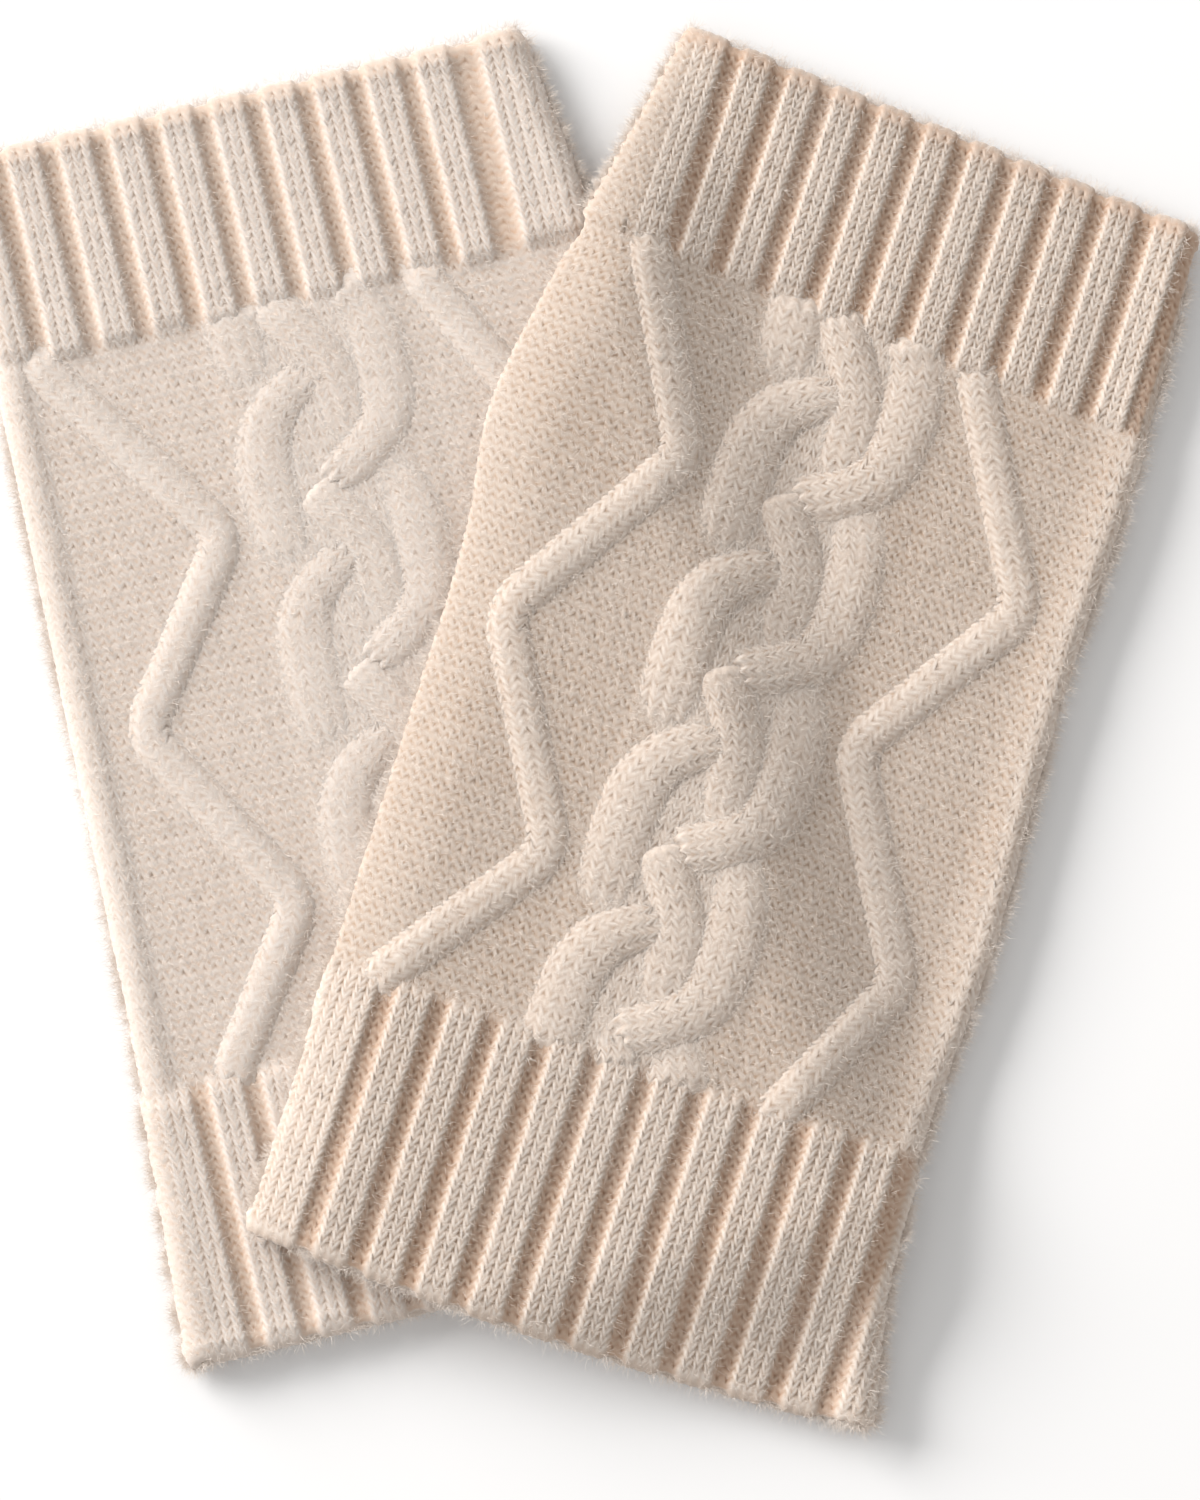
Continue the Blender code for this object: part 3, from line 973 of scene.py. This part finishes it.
@dataclass
class KnitBand:
    """A raised band of V stitches that follows a way over the front of a warmer.

    Attributes:
        way: Rows of along, across, half width and rise, in millimetres.
        wales: How many stitches wide it is.
        flatness: The power of its cross-section, larger for a flatter top.
        steepness: How gently its sides start, from 0.5 for upright sides.
        roundness: How far round its section the stitches go, in half turns to either side.
        fades: The lengths over which its start and its end sink into the ground.
        tuck: How deep its edges reach into the wall.
        stitch_slope: How soon its stitches stand up, going in from an edge.
        under: Where the two columns of its underside lie, as shares of its half width.
    """
    warmer: Warmer
    name: str
    way: Array
    wales: int
    flatness: float = 2.4
    steepness: float = 0.95
    roundness: float = 0.47
    fades: tuple[float, float] = (6.0, 6.0)
    sink: float = 0.3
    tuck: float = -0.5
    stitch_slope: float = 2.0
    end_calm: float = 4.0
    end_roundness: float = 2.6
    end_narrowing: float = 0.5
    edge_shade: float = 0.5
    under: tuple[float, float] = (0.5, -0.5)
    under_wales: float = 2.0

    def stations(self) -> tuple[Array, Array]:
        """Walks the way at even steps of its own length.

        Returns:
            The way at each step, and its unit tangent there.
        """
        length = path_lengths(self.way)
        count = ROWS_PER_COURSE * round(length[-1] / COURSE) + 1
        even = np.linspace(0.0, length[-1], count)
        way = np.stack([np.interp(even, length, column) for column in self.way.T], axis=1)
        tangent = np.gradient(way[:, :2], even, axis=0)
        return way, tangent / np.linalg.norm(tangent, axis=1, keepdims=True)

    def relief(self) -> Relief:
        """Works out the band as a grid closed round its cross-section.

        Returns:
            The grid, with a cap at each end.
        """
        random = np.random.default_rng(self.warmer.seed + len(self.name))
        way, tangent = self.stations()
        rows, columns = len(way), COLUMNS_PER_WALE * self.wales + 1
        phase = np.arange(columns) % COLUMNS_PER_WALE
        form = FORMS[Stitch.LOOSE_KNIT]
        height = form.height(phase, np.arange(rows)[:, None])
        height = height + HEIGHT_JITTER * random.normal(0.0, 1.0, height.shape)
        lead = np.array(form.lead)[phase]
        lead = lead + LEAD_JITTER * random.normal(0.0, 1.0, height.shape)
        off = np.sin(self.roundness * math.pi * np.linspace(-1.0, 1.0, columns))
        section = (1.0 - np.abs(off) ** self.flatness) ** self.steepness
        even = COURSE / ROWS_PER_COURSE * np.arange(rows)[:, None]
        from_end = np.minimum(even, even[-1] - even)
        calm = smooth(from_end / self.end_calm)
        lead = lead * calm
        height = height * self.warmer.stitch_depth * calm
        ends = smooth(even / self.fades[0]) * smooth((even[-1] - even) / self.fades[1])
        top = way[:, 3:4] * ends + self.sink * (ends - 1.0)
        stitches = height * smooth(section * self.stitch_slope) * ends
        rise = (top - self.tuck) * section + self.tuck + stitches
        blunt = 1.0 - self.end_narrowing * share_of(1.0 - from_end / self.end_roundness) ** 2
        below = np.zeros((rows, len(self.under)))
        rise = np.concatenate([rise, below + self.tuck], axis=1)
        lead = np.concatenate([lead, below], axis=1)
        reach = np.append(off, self.under) * way[:, 2:3] * blunt
        along = way[:, 0:1] - reach * tangent[:, 1:2] + lead * tangent[:, 0:1]
        across = way[:, 1:2] + reach * tangent[:, 0:1] + lead * tangent[:, 1:2]
        points = self.warmer.tube_point(along, across, np.ones_like(across), rise)
        yarn = np.concatenate([yarn_shade(height), below], axis=1)
        # Painted trough shade on the band's sides, strongest at its edges where it meets the
        # ground and on its underside
        edge = np.concatenate([1.0 - section, np.ones(len(self.under))]) ** 2
        edge = edge * np.ones((rows, 1))
        shade = np.stack([yarn, self.edge_shade * edge, np.ones_like(yarn)], axis=-1)
        past = self.wales + self.under_wales * np.arange(1, len(self.under) + 2)
        wales = np.concatenate([np.linspace(0.0, self.wales, columns), past])
        return Relief(points, wales, np.arange(rows) / ROWS_PER_COURSE, shade, closed_rows=False)

    def build(self, material: Material) -> Piece:
        """Makes the band."""
        return place_piece(self.relief().mesh(self.name), material)


@dataclass
class Plait:
    """Ropes of seven stitches that cross over and under each other down a warmer's middle.

    Attributes:
        seam_overlap: How far a rope runs on into a cuff.
        own_fade: The length over which a rope sinks at an end of its own.
        seam_fade: The same at a cuff.
        seam_reach: How near the top seam a way's start is led back to the seam.
        hook_end: Where the hook that a rope makes to the left is past.
        turns_before: How many ropes start before the first left crossing.
    """
    warmer: Warmer
    rope_wales: int = 7
    seam_overlap: float = 3.0
    end_margin: float = 1.0
    own_fade: float = 1.2
    seam_fade: float = 3.5
    seam_rise: float = 1.0
    seam_rise_reach: float = 8.0
    seam_reach: float = 3.0
    lead_in_shift: float = 1.0
    hook_end: float = 56.0
    turns_before: int = 3

    def build(self, material: Material) -> list[Piece]:
        """Makes every rope that shows between the two seams.

        Args:
            material: The finish of their yarn.

        Returns:
            The ropes.
        """
        warmer, pieces = self.warmer, []
        for number in range(self.turns_before + PLAIT_REPEATS):
            way = self.way(FIRST_LEFT_CROSSING + (number - self.turns_before) * PLAIT_PITCH)
            starts_inside = way[0, 0] > warmer.top_seam + self.seam_reach
            ends_inside = way[-1, 0] < warmer.bottom_seam + self.seam_overlap - self.end_margin
            fades = tuple(self.own_fade if inside else self.seam_fade
                          for inside in (starts_inside, ends_inside))
            name = f"{warmer.name}_plait_rope_{number + 1}"
            band = KnitBand(warmer, name, way, self.rope_wales, fades=fades)
            pieces.append(band.build(material))
        return pieces

    def way(self, first: float) -> Array:
        """Works out a rope's way over the warmer.

        Args:
            first: Where along the warmer the rope first comes over the middle.

        Returns:
            Rows of along, across, half width and rise, cut off at the seams.
        """
        top_seam, bottom_seam = self.warmer.top_seam, self.warmer.bottom_seam
        table = np.array([(p.along, p.across, p.half_width, p.rise) for p in ROPE_WAY])
        length = path_lengths(table)
        fine = np.linspace(0.0, length[-1], WAY_POINTS)
        way = np.stack([curve_through(length, column, fine) for column in table.T], axis=1)
        way[:, 0] += first
        way[:, 1] += self.warmer.plait_middle(way[:, 0])
        way[:, 3] *= self.warmer.rope_height
        start = top_seam - self.seam_overlap
        if abs(way[0, 0] - top_seam) < self.seam_reach:
            lead_in = [start, way[0, 1] - self.lead_in_shift, way[0, 2], self.seam_rise]
            way = np.concatenate([[lead_in], way])
        if start < first + self.hook_end < top_seam + self.seam_reach:
            start = first + self.hook_end
        from_seam = np.minimum(way[:, 0] - top_seam, bottom_seam - way[:, 0])
        seam_rise = self.seam_rise * self.warmer.rope_height
        lifted = seam_rise * smooth(1.0 - from_seam / self.seam_rise_reach)
        way[:, 3] = np.maximum(way[:, 3], lifted)
        return way[(way[:, 0] >= start) & (way[:, 0] < bottom_seam + self.seam_overlap)]


@dataclass
class Ridges:
    """The two zigzag ridges of travelling stitches beside a warmer's plait."""
    warmer: Warmer
    rise: float = 0.9
    half_width: float = 4.1
    wales: int = 4
    seam_overlap: float = 4.5

    def build(self, material: Material) -> list[Piece]:
        """Makes the left and the right ridge.

        Args:
            material: The finish of their yarn.

        Returns:
            The two ridges.
        """
        warmer, pieces = self.warmer, []
        along = np.linspace(warmer.top_seam - self.seam_overlap,
                            warmer.bottom_seam + self.seam_overlap, WAY_POINTS)
        sizes = [np.full_like(along, size) for size in (self.half_width, self.rise)]
        for side, middle in zip(("left", "right"), warmer.ridge_middles(along)):
            way = np.stack([along, middle, *sizes], axis=1)
            band = KnitBand(warmer, f"{warmer.name}_{side}_ridge", way, self.wales)
            pieces.append(band.build(material))
        return pieces


Source = Union["Value", float, tuple[float, ...], bpy.types.NodeSocket]


class Value:
    """A number, colour or vector that flows through a finish's nodes."""

    def __init__(self, graph: "Graph", socket: bpy.types.NodeSocket) -> None:
        """Wraps one output socket of a graph."""
        self.graph = graph
        self.socket = socket

    def math(self, operation: str, first: Source, second: Source) -> "Value":
        """Adds a Math node and returns its result."""
        return self.graph.value("ShaderNodeMath", {"operation": operation}, {0: first, 1: second})

    def __add__(self, other: Source) -> "Value":
        """This value plus another."""
        return self.math("ADD", self, other)

    def __radd__(self, other: Source) -> "Value":
        """Another value plus this one."""
        return self.math("ADD", other, self)

    def __sub__(self, other: Source) -> "Value":
        """This value less another."""
        return self.math("SUBTRACT", self, other)

    def __rsub__(self, other: Source) -> "Value":
        """Another value less this one."""
        return self.math("SUBTRACT", other, self)

    def __mul__(self, other: Source) -> "Value":
        """This value times another."""
        return self.math("MULTIPLY", self, other)

    def __rmul__(self, other: Source) -> "Value":
        """Another value times this one."""
        return self.math("MULTIPLY", other, self)

    def __pow__(self, other: Source) -> "Value":
        """This value to a power."""
        return self.math("POWER", self, other)

    def __rpow__(self, other: Source) -> "Value":
        """Another value to the power of this one."""
        return self.math("POWER", other, self)


@dataclass(frozen=True)
class Grain:
    """The scale, detail and roughness of a noise."""
    scale: float
    detail: float
    roughness: float = 0.5


class Graph:
    """The nodes of one material."""

    def __init__(self, name: str) -> None:
        """Makes a material with one shader.

        Args:
            name: What to call the material.
        """
        self.material = bpy.data.materials.new(name)
        self.material.use_nodes = True
        self.tree = self.material.node_tree
        self.shader = self.tree.nodes["Principled BSDF"]

    def node(self, kind: str, settings: dict[str, Any],
             inputs: dict[Any, Source]) -> bpy.types.Node:
        """Adds a node.

        Args:
            kind: The node's type.
            settings: Its properties, set first.
            inputs: Its sockets' values or links, by name or number.

        Returns:
            The new node.
        """
        node = self.tree.nodes.new(kind)
        for name, setting in settings.items():
            setattr(node, name, setting)
        for key, source in inputs.items():
            self.feed(node.inputs[key], source)
        return node

    def feed(self, socket: bpy.types.NodeSocket, source: Source) -> None:
        """Links a value to a socket, or sets the socket to a constant.

        Args:
            socket: The socket to feed.
            source: A value or a socket to link, or a constant.
        """
        if isinstance(source, Value):
            self.tree.links.new(source.socket, socket)
        elif isinstance(source, bpy.types.NodeSocket):
            self.tree.links.new(source, socket)
        else:
            socket.default_value = source

    def finish(self, inputs: dict[str, Source]) -> Material:
        """Feeds the shader's sockets.

        Args:
            inputs: The sockets' values or links, by name.

        Returns:
            The material.
        """
        for name, source in inputs.items():
            self.feed(self.shader.inputs[name], source)
        return self.material

    def value(self, kind: str, settings: dict[str, Any], inputs: dict[Any, Source],
              output: Union[str, int] = 0) -> Value:
        """Adds a node and wraps one of its outputs."""
        return Value(self, self.node(kind, settings, inputs).outputs[output])

    def mix(self, factor: Source, first: Source, second: Source) -> Value:
        """Blends two colours by a factor."""
        inputs = {0: factor, 6: first, 7: second}
        return self.value("ShaderNodeMix", {"data_type": "RGBA"}, inputs, 2)

    def noise(self, vector: Source, grain: Grain) -> Value:
        """Adds a noise.

        Args:
            vector: Where it is read.
            grain: Its scale, detail and roughness.

        Returns:
            The noise, 0 to 1.
        """
        inputs = {"Vector": vector, "Scale": grain.scale, "Detail": grain.detail,
                  "Roughness": grain.roughness}
        return self.value("ShaderNodeTexNoise", {}, inputs)

    def place(self) -> Value:
        """Where each point lies on the pair."""
        return self.value("ShaderNodeTexCoord", {}, {}, "Object")


def opaque(colour: Triple) -> Four:
    """A colour with full alpha."""
    return (*colour, 1.0)


@dataclass(frozen=True)
class WoolFinish:
    """Soft brushed wool: pale yarn, with warmer painted shade between the stitches and in the
    ribs' troughs.

    The crest and the ground are the colours of V stitches and of purl bars, and the crevice is
    painted shade between them. The trough and the trough crest are painted shade in the ribs'
    troughs, on low and on high yarn. A start is the noise from which clouds or flecks show, and
    a share says how much they do.
    """
    name: str
    crest: Triple
    ground: Triple
    crevice: Triple
    trough_shade: Triple
    trough_crest_shade: Triple
    cloud: Triple
    clouds: Grain = Grain(55.0, 2.0)
    flecks: Grain = Grain(1500.0, 3.0, 0.6)
    fibres: Grain = Grain(2.4, 3.0, 0.65)
    cloud_start: float = 0.35
    cloud_share: float = 0.5
    fleck_start: float = 0.5
    fleck_share: float = 0.45
    trough_shade_share: float = 0.85
    crest_power: float = 0.8
    twist_scale: Triple = (4.0, 2.2, 1.0)
    twist_turn: float = 0.6
    fibre_height: float = 0.7
    fleck_height: float = 0.5
    bump: float = 0.45
    bump_depth: float = 0.00025
    roughness: float = 0.92
    specular: float = 0.2
    sheen: float = 0.3
    sheen_roughness: float = 0.55
    sheen_tint: Triple = (1.0, 0.985, 0.97)
    glow: float = 0.25
    glow_reach: Triple = (1.0, 0.9, 0.8)
    glow_depth: float = 0.001

    def make(self) -> Material:
        """Builds the finish.

        Returns:
            The material.
        """
        graph = Graph(self.name)
        shade = graph.value("ShaderNodeVertexColor", {"layer_name": SHADE_LAYER}, {}, "Color")
        parts = graph.node("ShaderNodeSeparateColor", {}, {0: shade})
        yarn, trough_shade, knit = (Value(graph, output) for output in parts.outputs)
        place = graph.place()
        stitches = graph.value("ShaderNodeUVMap", {"uv_map": STITCH_LAYER}, {}, "UV")
        cloud = graph.noise(place, self.clouds)
        fleck = graph.noise(place, self.flecks)
        turned = {"Vector": stitches, "Scale": self.twist_scale,
                  "Rotation": (0.0, 0.0, self.twist_turn)}
        fibre = graph.noise(graph.value("ShaderNodeMapping", {}, turned), self.fibres)
        # Painted shade between stitches: low yarn takes the crevice colour, high yarn the crest or
        # ground
        raised = yarn ** self.crest_power
        base = graph.mix(raised, opaque(self.crevice),
                         graph.mix(knit, opaque(self.ground), opaque(self.crest)))
        # Painted trough shade, darker on low yarn, mixed in by the trough depth
        painted_trough = graph.mix(raised, opaque(self.trough_shade), opaque(self.trough_crest_shade))
        base = graph.mix(trough_shade * self.trough_shade_share, base, painted_trough)
        clouded = (cloud - self.cloud_start) * self.cloud_share
        base = graph.mix(clouded, base, opaque(self.cloud))
        flecked = (fleck - self.fleck_start) * self.fleck_share
        base = graph.mix(flecked, base, opaque(self.crevice))
        height = fibre * self.fibre_height + fleck * self.fleck_height
        relief = {"Strength": self.bump, "Distance": self.bump_depth, "Height": height}
        bump = graph.value("ShaderNodeBump", {}, relief)
        return graph.finish({
            "Base Color": base,
            "Normal": bump,
            "Roughness": self.roughness,
            "Specular IOR Level": self.specular,
            "Subsurface Weight": self.glow,
            "Subsurface Radius": self.glow_reach,
            "Subsurface Scale": self.glow_depth,
            "Sheen Weight": self.sheen,
            "Sheen Roughness": self.sheen_roughness,
            "Sheen Tint": opaque(self.sheen_tint),
        })


@dataclass(frozen=True)
class FibreFinish:
    """Single loose fibres of the wool."""
    name: str
    root: Triple
    tip: Triple
    grain: Grain = Grain(300.0, 1.0)
    roughness: float = 0.7
    specular: float = 0.2

    def make(self) -> Material:
        """Builds the finish.

        Returns:
            The material.
        """
        graph = Graph(self.name)
        grain = graph.noise(graph.place(), self.grain)
        base = graph.mix(grain, opaque(self.root), opaque(self.tip))
        return graph.finish({"Base Color": base, "Roughness": self.roughness,
                             "Specular IOR Level": self.specular})


@dataclass
class Fuzz:
    """Loose fibres on a warmer's wool, rooted in its own surface.

    Attributes:
        lift: How far they stand up and not lie down.
        curl: How far each bends at its joints.
        steep_only: Whether they grow only on folds, hems and other steep places.
        joints: How many times each bends.
        waver: How far their headings differ.
        turn: How far their flat sides are turned.
        lowest: How near the table they come.
        spread: How far from a face's middle they are rooted.
        steepness: The slope from which a place is steep.
        bareness: How much sparser they grow in troughs.
    """
    warmer: Warmer
    name: str
    count: int
    shortest: float
    longest: float
    thickness: float
    lift: float
    curl: float
    steep_only: bool
    joints: int
    waver: float = 0.5
    turn: float = 0.3
    lowest: float = 0.1
    spread: float = 0.25
    steepness: float = 0.4
    bareness: float = 0.85

    def build(self, roots_on: list[Piece], material: Material) -> Piece:
        """Makes the fibres as thin ribbons that end in a point.

        Args:
            roots_on: The pieces that the fibres grow from.
            material: Their finish.

        Returns:
            The piece that holds them all.
        """
        random = np.random.default_rng(self.warmer.seed + self.count)
        place, normals = self.roots(roots_on, random)
        wander = random.normal(0.0, 1.0, place.shape)
        heading = normals * self.lift + wander * self.waver
        heading /= np.linalg.norm(heading, axis=1, keepdims=True)
        aside = np.cross(heading, np.array([0.0, 0.0, 1.0]) + self.turn * wander)
        aside *= 0.5 * self.thickness / (np.linalg.norm(aside, axis=1, keepdims=True) + TINY)
        step = random.uniform(self.shortest, self.longest, (self.count, 1)) / (self.joints + 1)
        corners = [place - aside, place + aside]
        for _ in range(self.joints):
            place = place + heading * step
            corners += [place - aside, place + aside]
            heading = heading + random.normal(0.0, self.curl, place.shape)
            heading /= np.linalg.norm(heading, axis=1, keepdims=True)
        corners.append(place + heading * step)
        points = np.stack(corners, axis=1)
        points[..., 2] = np.maximum(points[..., 2], self.lowest)
        start = len(corners) * np.arange(self.count)[:, None]
        faces = []
        for joint in range(self.joints):
            faces += (start + 2 * joint + np.array([0, 1, 3, 2])).tolist()
        faces += (start + 2 * self.joints + np.array([0, 1, 2])).tolist()
        data = bpy.data.meshes.new(f"{self.warmer.name}_{self.name}")
        data.from_pydata((points.reshape(-1, 3) * MM).tolist(), [], faces)
        return place_piece(data, material)

    def roots(self, pieces: list[Piece], random: np.random.Generator) -> tuple[Array, Array]:
        """Picks points spread evenly over the pieces' outside.

        Args:
            pieces: The pieces that the fibres grow from.
            random: The source of random numbers.

        Returns:
            The points in millimetres, and the way out at each.
        """
        centres, normals, weights = [], [], []
        for piece in pieces:
            faces = piece.data.polygons
            centre, normal, area = (np.zeros(size * len(faces)) for size in (3, 3, 1))
            faces.foreach_get("center", centre)
            faces.foreach_get("normal", normal)
            faces.foreach_get("area", area)
            normal = normal.reshape(-1, 3)
            upward = normal[:, 2]
            wanted = share_of(self.steepness - np.abs(upward) if self.steep_only else upward)
            centres.append(centre.reshape(-1, 3) / MM)
            normals.append(normal)
            weights.append(area * wanted * (1.0 - self.bareness * self.troughs(piece.data)))
        weight = np.concatenate(weights)
        chosen = random.choice(len(weight), self.count, p=weight / weight.sum())
        spread = random.normal(0.0, self.spread, (self.count, 3))
        return np.concatenate(centres)[chosen] + spread, np.concatenate(normals)[chosen]

    def troughs(self, data: Mesh) -> Array:
        """Reads each face's painted trough shade, which is strongest deep in a trough.

        Args:
            data: The mesh.

        Returns:
            The painted trough shade at each face, 0 to 1.
        """
        shade = np.zeros(4 * len(data.vertices))
        data.color_attributes[SHADE_LAYER].data.foreach_get("color", shade)
        corners, starts = (np.zeros(len(part), dtype=int) for part in (data.loops, data.polygons))
        data.loops.foreach_get("vertex_index", corners)
        data.polygons.foreach_get("loop_start", starts)
        return shade.reshape(-1, 4)[corners[starts], 1]


@dataclass
class Studio:
    """A pale table, soft light from the upper left, and the camera of the photograph.

    Places and sizes are in metres, and the elevation is in degrees.
    """
    floor_half: float = 3.0
    floor_colour: Triple = (0.82, 0.815, 0.815)
    floor_roughness: float = 0.9
    floor_specular: float = 0.1
    room_colour: Triple = (1.0, 0.995, 0.985)
    room_light: float = 0.65
    key_place: Triple = (-2.80, 1.70, 1.37)
    key_size: tuple[float, float] = (2.7, 1.6)
    key_power: float = 222.0
    key_colour: Triple = (1.0, 0.99, 0.98)
    aim: Triple = (0.00278, -0.00506, 0.005)
    distance: float = 0.897
    elevation: float = 84.0
    lens: float = 135.0

    def build(self) -> None:
        """Makes the floor, the lights and the camera."""
        self.make_floor()
        self.make_world()
        self.make_key()
        self.make_camera()

    def add(self, name: str, data: bpy.types.ID) -> Piece:
        """Puts a mesh, a light or a camera into the scene.

        Args:
            name: What to call it.
            data: The mesh, light or camera.

        Returns:
            The new object.
        """
        item = bpy.data.objects.new(name, data)
        bpy.context.scene.collection.objects.link(item)
        return item

    def make_floor(self) -> None:
        """Makes the table."""
        half = self.floor_half
        corners = [(-half, -half, 0), (half, -half, 0), (half, half, 0), (-half, half, 0)]
        data = bpy.data.meshes.new("table")
        data.from_pydata(corners, [], [(0, 1, 2, 3)])
        data.materials.append(Graph("table").finish({
            "Base Color": opaque(self.floor_colour),
            "Roughness": self.floor_roughness,
            "Specular IOR Level": self.floor_specular,
        }))
        self.add("table", data)

    def make_world(self) -> None:
        """Fills the room with even pale light."""
        world = bpy.data.worlds.new("room")
        world.use_nodes = True
        background = world.node_tree.nodes["Background"]
        background.inputs["Color"].default_value = opaque(self.room_colour)
        background.inputs["Strength"].default_value = self.room_light
        bpy.context.scene.world = world
        bpy.context.scene.view_settings.view_transform = "Standard"

    def make_key(self) -> None:
        """Makes one soft panel of light that faces the pair."""
        light = bpy.data.lights.new("key", "AREA")
        light.shape = "RECTANGLE"
        light.size, light.size_y = self.key_size
        light.energy = self.key_power
        light.color = self.key_colour
        lamp = self.add("key", light)
        lamp.location = self.key_place
        lamp.rotation_euler = (-Vector(self.key_place)).to_track_quat("-Z", "Y").to_euler()

    def make_camera(self) -> None:
        """Makes the camera, nearly overhead."""
        elevation = math.radians(self.elevation)
        back = Vector((0.0, -math.cos(elevation), math.sin(elevation)))
        data = bpy.data.cameras.new("camera")
        data.lens = self.lens
        camera = self.add("camera", data)
        camera.location = Vector(self.aim) + back * self.distance
        camera.rotation_euler = (-back).to_track_quat("-Z", "Y").to_euler()
        bpy.context.scene.camera = camera


def dress(warmer: Warmer, wool: WoolFinish, fibres: FibreFinish) -> None:
    """Args:
        warmer: The warmer's sizes.
        wool: The finish of its yarn.
        fibres: The finish of its loose fibres.
    """
    yarn = wool.make()
    tube = KnitTube(warmer).build(yarn)
    bands = Plait(warmer).build(yarn) + Ridges(warmer).build(yarn)
    loose = fibres.make()
    nap = Fuzz(warmer, "nap", count=130000, shortest=0.8, longest=2.4, thickness=0.045,
               lift=0.25, curl=0.0, steep_only=False, joints=0)
    halo = Fuzz(warmer, "halo", count=30000, shortest=0.8, longest=3.0, thickness=0.035,
                lift=0.6, curl=0.6, steep_only=True, joints=1)
    fuzz = [nap.build([tube, *bands], loose), halo.build([tube], loose)]


def main() -> None:
    """Builds the room and the pair in order, and writes down how large it came out."""
    logging.basicConfig(level=logging.INFO, format="%(message)s")
    Studio().build()
    # The crevice, trough and trough crest colours are painted shade; the lower warmer's are
    # lighter than the upper's
    lower_wool = WoolFinish("lower_wool", crest=(0.655, 0.615, 0.58), ground=(0.615, 0.565, 0.525),
                            crevice=(0.61, 0.455, 0.345), trough_shade=(0.54, 0.33, 0.21),
                            trough_crest_shade=(0.62, 0.51, 0.42), cloud=(0.665, 0.61, 0.56))
    upper_wool = WoolFinish("upper_wool", crest=(0.70, 0.635, 0.575), ground=(0.575, 0.505, 0.445),
                            crevice=(0.42, 0.28, 0.185), trough_shade=(0.375, 0.195, 0.105),
                            trough_crest_shade=(0.53, 0.395, 0.30), cloud=(0.61, 0.545, 0.49))
    fibres = FibreFinish("loose_fibres", root=(0.72, 0.64, 0.57), tip=(0.80, 0.73, 0.67))
    dress(LOWER, lower_wool, fibres)
    dress(UPPER, upper_wool, fibres)


if __name__ == "__main__":
    main()
